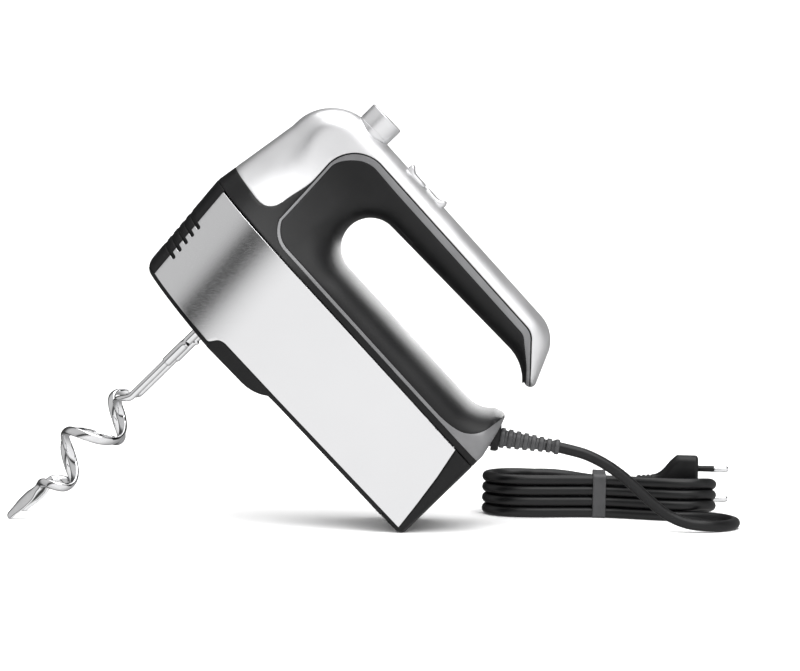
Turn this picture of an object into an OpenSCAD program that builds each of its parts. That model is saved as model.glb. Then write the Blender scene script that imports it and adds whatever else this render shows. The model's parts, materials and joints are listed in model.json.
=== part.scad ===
// Hand mixer with an open handle, two dough hooks, a mains lead and its plug.
// Millimetres, +Z up. The mixer stands on its hook tips and on its heel.
//
// Every piece of the mixer is drawn in the mixer's own upright frame: x runs
// rearward from the front of the base, y to the left and z up to the handle.
// stand() then leans that frame into the pose that the mixer stands in.
// The lead, its hank and the plug are drawn where they lie on the surface.

/* [Body] */
// Length of the motor housing at its base
body_length = 211; // [208:1:214]
// Width of the motor housing
body_width = 80; // [78:1:84]
// Height of the seam at the front
seam_front = 65; // [64:0.5:66]
// Height of the seam at the rear
seam_rear = 57; // [56:0.5:58]
// How far the front leans forward at the seam
nose_reach = 12; // [11:0.5:13]
// How far the front leans forward of the same point at its foot
nose_foot = 6; // [5.5:0.5:6.5]
// Length of the rounded bow, from the front to the flat sides
bow_length = 72; // [68:1:76]
// Thickness of a stainless side panel
panel_thickness = 1.2; // [1:0.1:1.4]
// Wall of the moulded covers
wall = 2.2; // [2:0.1:2.6]

/* [Handle] */
// Width of the handle
handle_width = 35; // [33:0.5:37]
// Height of the handle's top behind the speed dial
handle_top = 151; // [150:0.5:152]
// How far the handle's top falls to its rear end
handle_fall = 6; // [5:0.5:7]
// Height of the handle's underside
handle_under = 118.5; // [118:0.5:119]
// Radius of the round front end of the finger opening
opening_r = 17.5; // [17:0.1:17.6]
// Width of the grey trim around the soft grip
trim_width = 2.8; // [2.4:0.2:3.2]

/* [Controls] */
// Diameter of the speed dial
dial_d = 22.5; // [21:0.5:23]
// Height of the speed dial above the shell
dial_height = 10.5; // [9:0.5:11]
// Angle between two speed settings
dial_step = 36; // [30:1:40]
// Travel of the eject button
eject_travel = 6; // [5:0.5:6]
// Travel of the turbo button
turbo_travel = 1.8; // [1.5:0.1:2]

/* [Drive] */
// Distance of each hook's axis from the middle
spindle_y = 20; // [20:0.5:20.5]
// Height of the motor shaft
motor_z = 31; // [31:0.5:31.5]
// Diameter of the motor shaft
shaft_d = 6; // [5:0.5:6]

/* [Hooks] */
// Diameter of a dough hook's wire
hook_wire = 5.4; // [5:0.2:5.8]
// How far a hook reaches below the base
hook_reach = 161; // [156:1:166]
// Radius of the hook's curls
curl_r = 12.5; // [12:0.5:13]

/* [Mains lead] */
// Diameter of the lead
lead_d = 6.5; // [6.4:0.1:6.6]
// Width of the hank's end loops, in diameters of the lead
fold = 6; // [6:0.5:6.5]
// Half the length of the hank between its end loops
hank_half = 49; // [48:1:54]

/* [Hidden] */
$fn = 48;

// The worm drive's module and counts, which set how the spindles follow the motor.
gear_module = 1;
wheel_teeth = 28;
worm_starts = 2;

half_w = body_width / 2;
handle_half = handle_width / 2;
rake = atan2(nose_reach - nose_foot, seam_front);
gap = 0.2;

// Where the hooks sit, and how the mixer leans on them and on its heel.
spindle_x = 44;
heel_r = 4;
tip_r = hook_wire / 2;
tip_z = -hook_reach + tip_r;
lean_run = body_length - heel_r - spindle_x;
lean_rise = heel_r - tip_z;
lean = atan2(lean_rise, lean_run) + asin((tip_r - heel_r) / norm([lean_run, lean_rise]));
stand_z = (body_length - heel_r) * sin(lean) - heel_r * cos(lean) + heel_r;
stand_x = -75.65;

// Outlines in the side view, x rearward and z up.
opening_x = 79;
opening_z = handle_under - opening_r;
shoulder_r = 30;
front_top_x = -4;
nose_r = 22;
nose_x = 176;
nose_z = handle_top - handle_fall - nose_r;
tilt_back = atan2(front_top_x + nose_reach, handle_under - seam_front);
belly_z = -4;
horn_z = 89.5;
saddle_z = opening_z - opening_r;

function arc(x, z, r, from, to, n = 8) =
    [for (i = [0 : n]) let (a = from + (to - from) * i / n) [x + r * cos(a), z + r * sin(a)]];
// The lower and upper forms run past the seam, so that their shells are open there.
form_top = 80;
form_bottom = 40;
function front_x(z) = -nose_foot - z * tan(rake);
function seam(x) = seam_front + (seam_rear - seam_front) * (x + nose_reach) / (body_length + nose_reach);

lower_side = concat(
    arc(7.5 - nose_foot, 7.6, 8, 185, 266, 6),
    [[50, belly_z + 0.4]],
    [[56, belly_z], [84, belly_z]],
    arc(84, belly_z + 26, 26, 278, 308, 4),
    [[108, 1.6]],
    arc(body_length - heel_r, heel_r, heel_r, 270, 360, 6),
    [[body_length, form_top], [front_x(form_top), form_top]]
);

upper_side = concat(
    [[-nose_reach, form_bottom], [-nose_reach, seam_front], [front_top_x, handle_under]],
    arc(front_top_x + shoulder_r, handle_top - shoulder_r, shoulder_r, 174, 93, 12),
    arc(nose_x, nose_z, nose_r, 87, 30, 8),
    arc(200.3, 113.6, 3.6, 25, -120, 5),
    arc(177, 90.5, handle_under - 90.5, 42, 90, 8),
    arc(opening_x, opening_z, opening_r, 90, 270, 20),
    [[176, saddle_z - 3]],
    arc(182, saddle_z + 17, 20, 275, 322, 5),
    arc(202.5, horn_z - 3.2, 3.2, 130, 13, 5),
    [[body_length, seam_front], [body_length, form_bottom]]
);

// The line around the soft grip, at the outer edge of its grey trim.
grip_line = concat(
    [[214, 62], [196, 62.2]],
    arc(46, 80.5, 17.2, 276, 205, 8),
    arc(49.3, 118.6, 21, 178, 92, 10),
    arc(nose_x - 1, nose_z + 1, nose_r - 11.5, 87, 38, 6),
    [[205, 108], [214, 96]]
);

// The collar's upper edge under the silver shell, ending in a rounded tongue.
collar_line = concat(
    [[-20, 50], [-20, 78.4], [13, 75.2]],
    arc(15.5, 85, 9.8, 272, 350, 6),
    [[32, 84], [230, 84], [230, 50]]
);

// The stainless panel's outline, shared by the pieces around it.
panel_front = 8.8;
panel_line = concat(
    [[panel_front - nose_foot - 0.4, 2], [53.5, belly_z + 2.5], [57, 3.6]],
    arc(60, 2.7, 2.2, 140, 92, 3),
    [[105, 4], [206.4, 2.6], [204, 20], [201, 39], [197, seam(197) - gap]],
    [[-nose_reach + panel_front + 0.2, seam(0) - gap - 0.6]]
);

// Outlines in plan and in the front view.
function bow_plan(inset) = let (n = 14)
    concat(
        [for (i = [-n : n]) let (a = 90 * i / n)
            [bow_length - (bow_length - inset) * pow(cos(a), 0.9),
             (half_w - inset) * sign(a) * pow(abs(sin(a)), 0.9)]],
        [[body_length + 60, half_w - inset], [body_length + 60, inset - half_w]]
    );
function tail_plan(inset) = let (r = 7)
    concat(
        [[-60, -60]],
        arc(body_length - r, r - half_w, r - inset, 270, 360, 5),
        arc(body_length - r, half_w - r, r - inset, 0, 90, 5),
        [[-60, 60]]
    );
crown_base = 63;
crown_rise = opening_z - opening_r + 0.5 - crown_base;
function crown_half(inset) = let (n = 12)
    [for (i = [0 : n]) let (a = 90 * i / n)
        [(half_w - inset) * pow(cos(a), 0.8), crown_base + (crown_rise + 6 - inset) * pow(sin(a), 0.8)]];
function flare(z) = handle_half
    + (half_w - 1 - handle_half) * pow(max(0, 1 - (z - seam_front) / 60), 1.8);
function pillar_half(inset) =
    concat(
        [for (z = [50 : 5 : 130]) [min(half_w, flare(max(z, seam_front))) - inset, z]],
        arc(handle_half - 11, handle_top - 11, 11 - inset, 0, 90, 5)
    );
function both(half) = concat(half, [for (i = [len(half) - 1 : -1 : 0]) [-half[i][0], half[i][1]]]);

// Materials as colours.
steel = [0.80, 0.80, 0.81];
satin = [0.72, 0.73, 0.74];
black = [0.11, 0.11, 0.12];
soft_black = [0.16, 0.16, 0.17];
grey = [0.50, 0.50, 0.51];
chrome = [0.86, 0.86, 0.87];
nylon = [0.90, 0.89, 0.84];
copper = [0.72, 0.42, 0.22];
iron = [0.42, 0.43, 0.45];
brass = [0.80, 0.66, 0.34];

// Helpers: a side outline drawn across, a front outline drawn along, and the lean.
module across(half) {
    rotate([90, 0, 0]) linear_extrude(2 * half, center = true) children();
}
module along() {
    rotate([90, 0, 90]) translate([0, 0, -60]) linear_extrude(360) children();
}
module stand() {
    translate([stand_x, 0, stand_z]) rotate([0, lean, 0]) children();
}
module on_x(x, z, length, r) {
    translate([x, 0, z]) rotate([0, 90, 0]) cylinder(h = length, r = r);
}
module slab(x0, x1, y0, y1, z0, z1) {
    translate([x0, y0, z0]) cube([x1 - x0, y1 - y0, z1 - z0]);
}

// The motor housing's outer form below the seam, drawn in by inset.
module lower_form(inset) {
    intersection() {
        across(half_w) offset(delta = -inset) polygon(lower_side);
        translate([-nose_foot, 0, 0]) rotate([0, -rake, 0])
            translate([0, 0, -70]) linear_extrude(170) polygon(bow_plan(inset));
        translate([0, 0, -20]) linear_extrude(120) polygon(tail_plan(inset));
    }
}
module lower_shell(outer, inner) {
    difference() {
        lower_form(outer);
        lower_form(inner);
    }
}

// The form above the seam: the crown over the motor and the pillar with the handle.
module upper_form(inset) {
    intersection() {
        across(half_w) offset(delta = -inset) polygon(upper_side);
        union() {
            intersection() {
                along() polygon(both(concat([[half_w - inset, 50]], crown_half(inset))));
                slab(-60, 300, -60, 60, 50, horn_z + 1);
            }
            difference() {
                along() polygon(both(pillar_half(inset)));
                slab(opening_x - 6, 300, -60, 60, 40, opening_z);
            }
        }
        translate([-nose_reach, 0, seam_front]) rotate([0, tilt_back, 0])
            translate([0, 0, -40]) linear_extrude(200) polygon(bow_plan(inset));
        translate([0, 0, 20]) linear_extrude(140) polygon(tail_plan(inset));
    }
}
module upper_shell(thickness) {
    difference() {
        upper_form(0);
        upper_form(thickness);
    }
}

// Five air slots that run round the front and into the panels' front edges.
slot_z = 16.5;
slot_pitch = 5.6;
slot_height = 2.3;
slot_end = 12.2;
module air_slots() {
    for (i = [0 : 4])
        let (z = slot_z + i * slot_pitch)
            translate([slot_end + front_x(z), 0, z]) rotate([0, 6, 0])
                slab(-40, 0, -half_w, half_w, -slot_height / 2, slot_height / 2);
}

// Stainless side panels, one on each side.
module side_panel(side) {
    color(steel) difference() {
        intersection() {
            lower_shell(0, panel_thickness);
            across(half_w + 1) polygon(panel_line);
            translate([0, side * (half_w + 5), 0]) cube([500, 2 * half_w - 2, 300], center = true);
        }
        air_slots();
    }
}

// Dark front panel; a lip behind the side panels' edges holds its fins.
module front_region(end) {
    across(half_w) polygon([
        [-30, 1.4], [end - nose_foot - 0.3, 1.4], [end + front_x(seam(0)) - 0.3, seam(0) - gap], [-30, seam(-20)]
    ]);
}
module front_grille() {
    color(black) difference() {
        union() {
            intersection() {
                lower_shell(0, 2.4);
                front_region(panel_front - 0.2);
            }
            intersection() {
                lower_shell(panel_thickness + 0.1, 2.4);
                front_region(slot_end + 3.2);
                slab(-40, 60, -60, 60, 5.2, seam_front - 3);
            }
        }
        air_slots();
    }
}

// Base with the belly over the gears, two round openings for the hooks.
socket_r = 8;
module base_tray() {
    color(black) difference() {
        intersection() {
            lower_form(0);
            across(half_w) polygon(concat(
                [[-10, 1.2], [panel_front - 0.8, 1.2]],
                [for (i = [0 : 5]) panel_line[i] - [0, gap]],
                [[105, 4 - gap], [194, 2.6], [194, -20], [-10, -20]]
            ));
        }
        for (side = [-1, 1])
            translate([spindle_x, side * spindle_y, -10]) cylinder(h = 30, r = socket_r);
        for (x = screw_x, side = [-1, 1])
            translate([x, side * 22, -10]) cylinder(h = 30, r = 1.9);
    }
}

// Inner tub that carries the motor, standing on the base.
tub_outer = 1.5;
tub_floor = 4.9;
screw_x = [26, 180];
module motor_tub() {
    color(iron * 0.5) difference() {
        union() {
            intersection() {
                lower_shell(tub_outer, tub_outer + 1.8);
                across(half_w) polygon([
                    [16, tub_floor], [190, tub_floor], [190, seam(190) - 1.5], [4.6, seam(4) - 1.5]
                ]);
            }
            intersection() {
                lower_form(tub_outer + 0.3);
                slab(16, 190, -half_w, half_w, tub_floor, tub_floor + 2);
            }
        }
        for (side = [-1, 1])
            translate([spindle_x, side * spindle_y, 0]) cylinder(h = 20, r = 8.3);
        for (x = screw_x, side = [-1, 1])
            translate([x, side * 22, 0]) cylinder(h = 20, r = 1.75);
    }
}

// Rear cap behind the panels; its flat face is where the mixer can rest upright.
module rear_cap() {
    color(black) intersection() {
        lower_shell(0, wall + 0.6);
        across(half_w) polygon([
            [194.2, -10], [230, -10], [230, seam(230) - gap], [197.3, seam(197) - gap],
            [201.3, 39], [204.3, 20], [206.7, 2.4], [194.2, 2.4]
        ]);
    }
}

// Black collar at the front and the band above the seam.
module collar_cover() {
    color(black) difference() {
        intersection() {
            upper_shell(wall);
            across(half_w) difference() {
                polygon(collar_line);
                offset(delta = gap / 2) polygon(grip_line);
            }
        }
        across(half_w) polygon([[-30, 40], [-30, seam(-30)], [230, seam(230)], [230, 40]]);
    }
}

// Grey trim that frames the soft grip.
module grip_trim() {
    color(grey) intersection() {
        upper_shell(wall);
        across(half_w) difference() {
            polygon(grip_line);
            offset(delta = -trim_width) polygon(grip_line);
        }
    }
}

// Soft grip, drawn as the saddle over the motor and the underside of the handle.
grip_split = 96;
module grip_side() {
    offset(delta = -trim_width - gap / 2) polygon(grip_line);
}
module saddle_grip() {
    color(soft_black) difference() {
        intersection() {
            upper_shell(wall);
            across(half_w) grip_side();
            slab(-60, 300, -60, 60, 50, grip_split);
        }
        translate(gland_at) rotate([0, 90 - gland_tilt, 0])
            cylinder(h = 30, r = gland_r + gap, center = true);
    }
}
module handle_grip() {
    color(soft_black) intersection() {
        upper_shell(wall);
        across(half_w) grip_side();
        slab(-60, 300, -60, 60, grip_split + gap, 200);
    }
}

// Silver shell over the pillar and the handle.
dial_x = 31.5;
eject_x = 68.5;
turbo_x = 84.8;
button_half = 7.4;
button_y = 7;
module button_hole(x, extra) {
    translate([x, 0, handle_top - 14]) linear_extrude(30)
        square([2 * (button_half + extra), 2 * (button_y + extra)], center = true);
}
module top_shell() {
    color(satin) difference() {
        intersection() {
            upper_shell(wall);
            across(half_w) difference() {
                translate([-60, 50]) square([300, 150]);
                offset(delta = gap / 2) polygon(grip_line);
                offset(delta = gap / 2) polygon(collar_line);
                polygon([[100, 50], [100, 100], [230, 100], [230, 50]]);
            }
        }
        translate([dial_x, 0, handle_top - 14]) cylinder(h = 30, r = dial_d / 2 + 0.3);
        button_hole(eject_x, 0.3);
        button_hole(turbo_x, 0.3);
    }
}

// Speed dial on its shaft, over the rotary switch.
dial_z = handle_top - 4;
shaft_z = 138;
module speed_dial() {
    color(satin) difference() {
        translate([dial_x, 0, dial_z]) rotate_extrude() polygon([
            [0, 0], [dial_d / 2, 0], [dial_d / 2, dial_height + 3], [dial_d / 2 - 1, dial_height + 4],
            [0, dial_height + 4]
        ]);
        translate([dial_x, 0, dial_z - 1]) cylinder(h = 9, r = 3.05);
    }
}
module dial_shaft() {
    color(nylon) translate([dial_x, 0, shaft_z]) cylinder(h = dial_z + 7.5 - shaft_z, r = 2.95);
}
module speed_switch() {
    color(nylon) difference() {
        slab(dial_x - 10, dial_x + 9.5, -10, 10, 124, 143.5);
        translate([dial_x, 0, shaft_z - 0.3]) cylinder(h = 20, r = 3.1);
        for (i = [0 : 5])
            translate([dial_x, 0, 143]) rotate([0, 0, 180 + i * dial_step]) translate([7, 0, 0])
                cylinder(h = 1, r = 0.9);
    }
}

// Moulded frame inside the pillar and the handle; it carries the switches and guides the rod.
shelf_z = 121.2;
guide_z = 88;
module handle_frame() {
    color(iron * 0.5) difference() {
        union() {
            slab(14, 95, -12, 12, shelf_z, 123.8);
            slab(17, 24, -8, 8, case_top + 2.8, shelf_z + 0.1);
            slab(23.9, rod_x + 5.5, -5.5, 5.5, guide_z, guide_z + 3.4);
        }
        translate([rod_x, 0, guide_z - 1]) cylinder(h = 50, r = 2.45);
        translate([rod_x, 0, guide_z + 3.4]) cylinder(h = 50, r = 5);
    }
}

// Eject button with its rod and yoke, which push both ejector pins.
button_top = handle_top + 2.4;
rod_x = 47.5;
spindle_top = 53.5;
yoke_z = spindle_top + eject_travel + 3.5;
module button(x, top) {
    difference() {
        translate([x, 0, handle_top - 7]) linear_extrude(top - handle_top + 7)
            square([2 * button_half, 2 * button_y], center = true);
        translate([x, 0, top + 46]) rotate([90, 0, 0])
            cylinder(h = 40, r = 46.6, center = true, $fn = 96);
    }
}
module eject_button() {
    color(satin) button(eject_x, button_top);
}
arm_z = handle_top - 11;
flange_z = guide_z + 18 + eject_travel;
module eject_rod() {
    color(nylon) {
        slab(rod_x - 2.5, eject_x + 4, -3, 3, arm_z, arm_z + 3.8);
        translate([rod_x, 0, yoke_z + 4.2]) cylinder(h = arm_z - yoke_z - 4.2, r = 2.2);
        translate([rod_x, 0, flange_z]) cylinder(h = 1.6, r = 4.6);
    }
}
module eject_yoke() {
    color(iron) {
        slab(rod_x - 7.5, rod_x + 4, -spindle_y - 5, spindle_y + 5, yoke_z + 1.6, yoke_z + 4);
        for (side = [-1, 1])
            translate([spindle_x, side * spindle_y, yoke_z]) cylinder(h = 1.6, r = 3.6);
    }
}
module eject_spring() {
    color(iron) translate([rod_x, 0, 0])
        helix_tube(r = 3.4, wire = 0.45, z0 = guide_z + 4, z1 = flange_z - 0.6,
            turns = 7, sides = 6, steps = 10);
}

// Turbo button over its microswitch and return spring.
turbo_stem = handle_top - 11.4;
turbo_seat = turbo_stem - turbo_travel - 0.2;
module turbo_button() {
    color(satin) button(turbo_x, button_top - 0.4);
    color(nylon) translate([turbo_x, 0, turbo_stem]) cylinder(h = handle_top - 7 - turbo_stem, r = 2);
}
module turbo_switch() {
    color(nylon) slab(turbo_x - 9, turbo_x + 9, -4, 4, 123.9, turbo_seat);
}
module turbo_spring() {
    color(iron) translate([turbo_x, 0, 0])
        helix_tube(r = 3.1, wire = 0.35, z0 = turbo_seat + 0.4, z1 = handle_top - 7.4,
            turns = 4, sides = 5, steps = 12);
}

// A coil spring, as one closed tube.
module helix_tube(r, wire, z0, z1, turns, sides, steps) {
    rings = turns * steps;
    points = [for (i = [0 : rings], j = [0 : sides - 1])
        let (a = 360 * i / steps, b = 360 * j / sides, q = r + wire * cos(b))
        [q * cos(a), q * sin(a), z0 + (z1 - z0) * i / rings + wire * sin(b)]];
    polyhedron(points, tube_faces(rings, sides));
}
function tube_faces(rings, sides) = concat(
    [[for (j = [0 : sides - 1]) j]],
    [for (i = [0 : rings - 1], j = [0 : sides - 1])
        let (a = i * sides + j, b = i * sides + (j + 1) % sides) [a, a + sides, b + sides, b]],
    [[for (j = [sides - 1 : -1 : 0]) rings * sides + j]]
);

// Board with the speed electronics, behind the motor.
module control_board() {
    color([0.16, 0.38, 0.24]) slab(178, 179.6, -36.4, 36.4, 12, 50);
    color(copper) slab(179.6, 188, -20, -4, 20, 34);
    color(iron) translate([179.6, 12, 36]) rotate([0, 90, 0]) cylinder(h = 11, r = 6);
    color(black) slab(179.6, 184, 6, 20, 16, 22);
}

// Motor: shaft, worm, armature, commutator and fan turn together.
core_x = 92;
core_len = 36;
module motor_shaft() {
    color(steel) on_x(24.5, motor_z, 143, shaft_d / 2);
}
worm_x = 32;
worm_len = 24;
worm_pitch_r = spindle_y - gear_module * wheel_teeth / 2;
lead_per_turn = worm_starts * PI * gear_module;
module worm() {
    turns = worm_len / lead_per_turn;
    root = worm_pitch_r - 1.25 * gear_module;
    rise = 2.2 * gear_module;
    half = 90 / worm_starts - 8;
    section = [for (s = [0 : worm_starts - 1], k = [0 : 7])
        let (t = [-3.4, -1.75, -1.05, -0.45, 0.45, 1.05, 1.75, 3.4][k],
             h = [0, 0, 0.45, 1, 1, 0.45, 0, 0][k],
             a = 360 * s / worm_starts + t * half * 0.5)
        (root + rise * h) * [cos(a), sin(a)]];
    color(steel) translate([worm_x, 0, motor_z]) rotate([0, 90, 0]) difference() {
        linear_extrude(worm_len, twist = -360 * turns, slices = 40) polygon(section);
        translate([0, 0, -1]) cylinder(h = worm_len + 2, r = shaft_d / 2 + 0.05);
    }
}
module armature_core() {
    slots = 12;
    color(iron) difference() {
        on_x(core_x, motor_z, core_len, 14);
        on_x(core_x - 1, motor_z, core_len + 2, shaft_d / 2 + 0.05);
        for (i = [0 : slots - 1])
            translate([core_x - 1, 0, motor_z]) rotate([360 * i / slots, 0, 0])
                translate([0, 0, 9]) slab(0, core_len + 2, -1.3, 1.3, 0, 7);
    }
}
module armature_windings() {
    color(copper) for (x = [core_x - 6.1, core_x + core_len + 0.1]) difference() {
        on_x(x, motor_z, 6, 12.4);
        on_x(x - 1, motor_z, 8, shaft_d / 2 + 0.1);
    }
}
module commutator() {
    bars = 12;
    color(copper) difference() {
        on_x(136, motor_z, 14, 9);
        on_x(135, motor_z, 16, shaft_d / 2 + 0.05);
        for (i = [0 : bars - 1])
            translate([138, 0, motor_z]) rotate([360 * (i + 0.5) / bars, 0, 0])
                translate([0, 0, 8.2]) slab(0, 14, -0.3, 0.3, 0, 2);
    }
}
fan_x = 71;
module cooling_fan() {
    blades = 12;
    color(nylon) difference() {
        union() {
            on_x(fan_x, motor_z, 11, 7);
            on_x(fan_x, motor_z, 1.6, 24);
            for (i = [0 : blades - 1])
                translate([fan_x + 1, 0, motor_z]) rotate([360 * i / blades, 0, 0])
                    slab(0, 9, -0.7, 0.7, 6, 24);
        }
        on_x(fan_x - 1, motor_z, 13, shaft_d / 2 + 0.05);
    }
}
module stator_core() {
    color(iron) difference() {
        intersection() {
            on_x(core_x, motor_z, core_len, 31);
            slab(core_x, core_x + core_len, -29, 29, motor_z - 24, motor_z + 24);
        }
        on_x(core_x - 1, motor_z, core_len + 2, 14.6);
        for (side = [-1, 1])
            slab(core_x - 1, core_x + core_len + 1, side * 19 - 4.5, side * 19 + 4.5,
                motor_z - 13, motor_z + 13);
    }
}
module field_coils() {
    color(copper) for (side = [-1, 1]) difference() {
        slab(core_x - 6, core_x + core_len + 6, side * 19 - 4.2, side * 19 + 4.2,
            motor_z - 12.6, motor_z + 12.6);
        slab(core_x - 0.3, core_x + core_len + 0.3, side * 19 - 5, side * 19 + 5,
            motor_z - 5, motor_z + 5);
    }
}
module brush_holders() {
    color(brass) for (side = [-1, 1]) difference() {
        slab(138.5, 147.5, side * 18.8 - 8.2, side * 18.8 + 8.2, motor_z - 4.2, motor_z + 4.2);
        slab(140.1, 145.9, side * 18.8 - 9.2, side * 18.8 + 9.2, motor_z - 2.9, motor_z + 2.9);
    }
}
module carbon_brushes() {
    color(black) for (side = [-1, 1])
        slab(140.2, 145.8, side * 16 - 6.6, side * 16 + 6.6, motor_z - 2.8, motor_z + 2.8);
}
bearing_x = [25.2, 63, 160];
module motor_bearings() {
    color(brass) for (x = bearing_x) difference() {
        on_x(x, motor_z, 5, 6);
        on_x(x - 1, motor_z, 7, shaft_d / 2 + 0.08);
    }
}
module bracket(x, thickness) {
    difference() {
        slab(x, x + thickness, -36.4, 36.4, tub_floor + 2.05, 55);
        on_x(x - 1, motor_z, thickness + 2, 6.05);
        for (side = [-1, 1])
            translate([x - 1, side * 18, motor_z + 14]) rotate([0, 90, 0])
                cylinder(h = thickness + 2, r = 5);
    }
}
module motor_bracket_front() {
    color(iron) bracket(bearing_x[1], 3);
}
module motor_bracket_rear() {
    color(iron) bracket(bearing_x[2], 3);
}

// Gear case around the worm wheels.
module capsule(r) {
    square([2 * r, 33], center = true);
    for (side = [-1, 1]) translate([0, side * 16.5]) circle(r);
}
case_floor = 7;
case_top = 44;
post_x = [-16.2, 16.2];
post_y = 10.2;
module gear_case() {
    color([0.30, 0.31, 0.33]) difference() {
        translate([spindle_x, 0, case_floor]) union() {
            linear_extrude(2.6) capsule(17.4);
            linear_extrude(12) difference() {
                capsule(17.4);
                capsule(15.8);
            }
            for (x = post_x, side = [-1, 1])
                translate([x, side * post_y, 0]) cylinder(h = case_top - case_floor - 0.1, r = 2.8);
        }
        for (side = [-1, 1])
            translate([spindle_x, side * spindle_y, 0]) cylinder(h = 20, r = 8.05);
        for (x = post_x, side = [-1, 1])
            translate([spindle_x + x, side * post_y, case_top - 14]) cylinder(h = 20, r = 1.3);
        on_x(20, motor_z, 20, 6.05);
    }
}
module gear_case_cover() {
    color([0.30, 0.31, 0.33]) difference() {
        union() {
            translate([spindle_x, 0, case_top]) linear_extrude(2.6) capsule(17.4);
            for (side = [-1, 1])
                translate([spindle_x, side * spindle_y, case_top]) cylinder(h = 8, r = 9.5);
            slab(25.2, 30.2, -7.2, 7.2, motor_z, case_top + 0.1);
        }
        for (side = [-1, 1])
            translate([spindle_x, side * spindle_y, case_top - 1]) cylinder(h = 12, r = 8.05);
        for (x = post_x, side = [-1, 1])
            translate([spindle_x + x, side * post_y, case_top - 1]) cylinder(h = 6, r = 1.5);
        on_x(20, motor_z, 20, 6.05);
    }
}
module gear_case_screws() {
    color(steel) for (x = post_x, side = [-1, 1])
        translate([spindle_x + x, side * post_y, 0]) {
            translate([0, 0, case_top - 8]) cylinder(h = 10.7, r = 1.25);
            translate([0, 0, case_top + 2.7]) cylinder(h = 1.8, r = 2.6);
        }
}

// Worm wheels: helical teeth that follow the worm's thread.
wheel_h = 7;
mesh_turn = 4.1;
module worm_wheel(side) {
    pitch_r = gear_module * wheel_teeth / 2;
    root = pitch_r - 1.2 * gear_module;
    tip = pitch_r + 0.85 * gear_module;
    step = 360 / wheel_teeth;
    helix = atan2(lead_per_turn, 2 * PI * worm_pitch_r);
    twist = -wheel_h * tan(helix) / pitch_r * 180 / PI;
    section = [for (i = [0 : wheel_teeth - 1], k = [0 : 5])
        let (t = [-0.36, -0.2, -0.105, 0.105, 0.2, 0.36][k],
             q = [root, pitch_r, tip, tip, pitch_r, root][k],
             a = step * (i + t + 0.5))
        q * [cos(a), sin(a)]];
    color(nylon) translate([spindle_x, side * spindle_y, motor_z - wheel_h / 2]) difference() {
        union() {
            rotate([0, 0, twist / 2 - side * mesh_turn])
                linear_extrude(wheel_h, twist = twist, slices = 4) polygon(section);
            translate([0, 0, -3]) cylinder(h = wheel_h + 6, r = 10);
        }
        translate([0, 0, -4]) cylinder(h = wheel_h + 8, r = 6.05);
    }
}

// Hollow spindles with a keyed socket for the hooks.
socket_bore = 3.2;
module spindle(side) {
    color(steel) translate([spindle_x, side * spindle_y, 0]) difference() {
        translate([0, 0, -2.5]) cylinder(h = spindle_top + 2.5, r = 6);
        translate([0, 0, -5]) cylinder(h = 70, r = socket_bore);
        slab(-1.3, 1.3, -8, 8, -5, 6);
    }
}
module spindle_bushes() {
    color(brass) for (side = [-1, 1], z = [case_floor - 2, case_top - 1])
        translate([spindle_x, side * spindle_y, z]) difference() {
            cylinder(h = 8, r = 8);
            translate([0, 0, -1]) cylinder(h = 10, r = 6.12);
        }
}
pin_z = 41;
module eject_pin(side) {
    color(steel) translate([spindle_x, side * spindle_y, pin_z])
        cylinder(h = yoke_z - 0.2 - pin_z, r = 2.9);
}

// Dough hooks: a shank with two drive ears, a spiral of the same wire and a flat blade.
hook_top = pin_z - 0.2;
neck_top = -31;
neck_r = 2.2;
curl_start = -58;
curl_end = -136;
curl_turns = 1.95;
// The direction each hook's curl starts in; the two curls turn opposite ways.
curl_left = -270;
curl_right = -207;
hook_rings = 68;
function ease(t) = t < 1 ? (1 - cos(180 * max(0, t))) / 2 : 1;
function curl_part(z) = min(1, (z - curl_start) / (curl_end - curl_start));
function curl_way(z, side) =
    let (a = (side > 0 ? curl_left : curl_right) + 360 * curl_turns * curl_part(z))
    [cos(a), side * sin(a), 0];
function hook_mid(z, side) =
    let (t = curl_part(z))
    curl_r * ease(t / 0.2) * ease((1 - t) / 0.18) * curl_way(z, side) + [0, 0, z];
// Half the strip's thickness and half its width: round at the neck, flat in the curl, wide in the blade.
function strip_size(z) =
    let (c = ease((curl_start - z) / 10), t = ease((curl_end - z) / 8), e = ease((z - tip_z + 1) / 12))
    [neck_r - 0.6 * c - 0.4 * t, neck_r + 0.5 * c + (0.2 + 1.5 * e) * t];
function unit(v) = v / norm(v);
// Each ring's sideways direction, carried from ring to ring so that the tube doesn't twist.
function carried(along, i = 0, side = [0, 1, 0]) =
    i == len(along) ? []
    : let (s = unit(side - (side * along[i]) * along[i])) concat([s], carried(along, i + 1, s));
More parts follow.
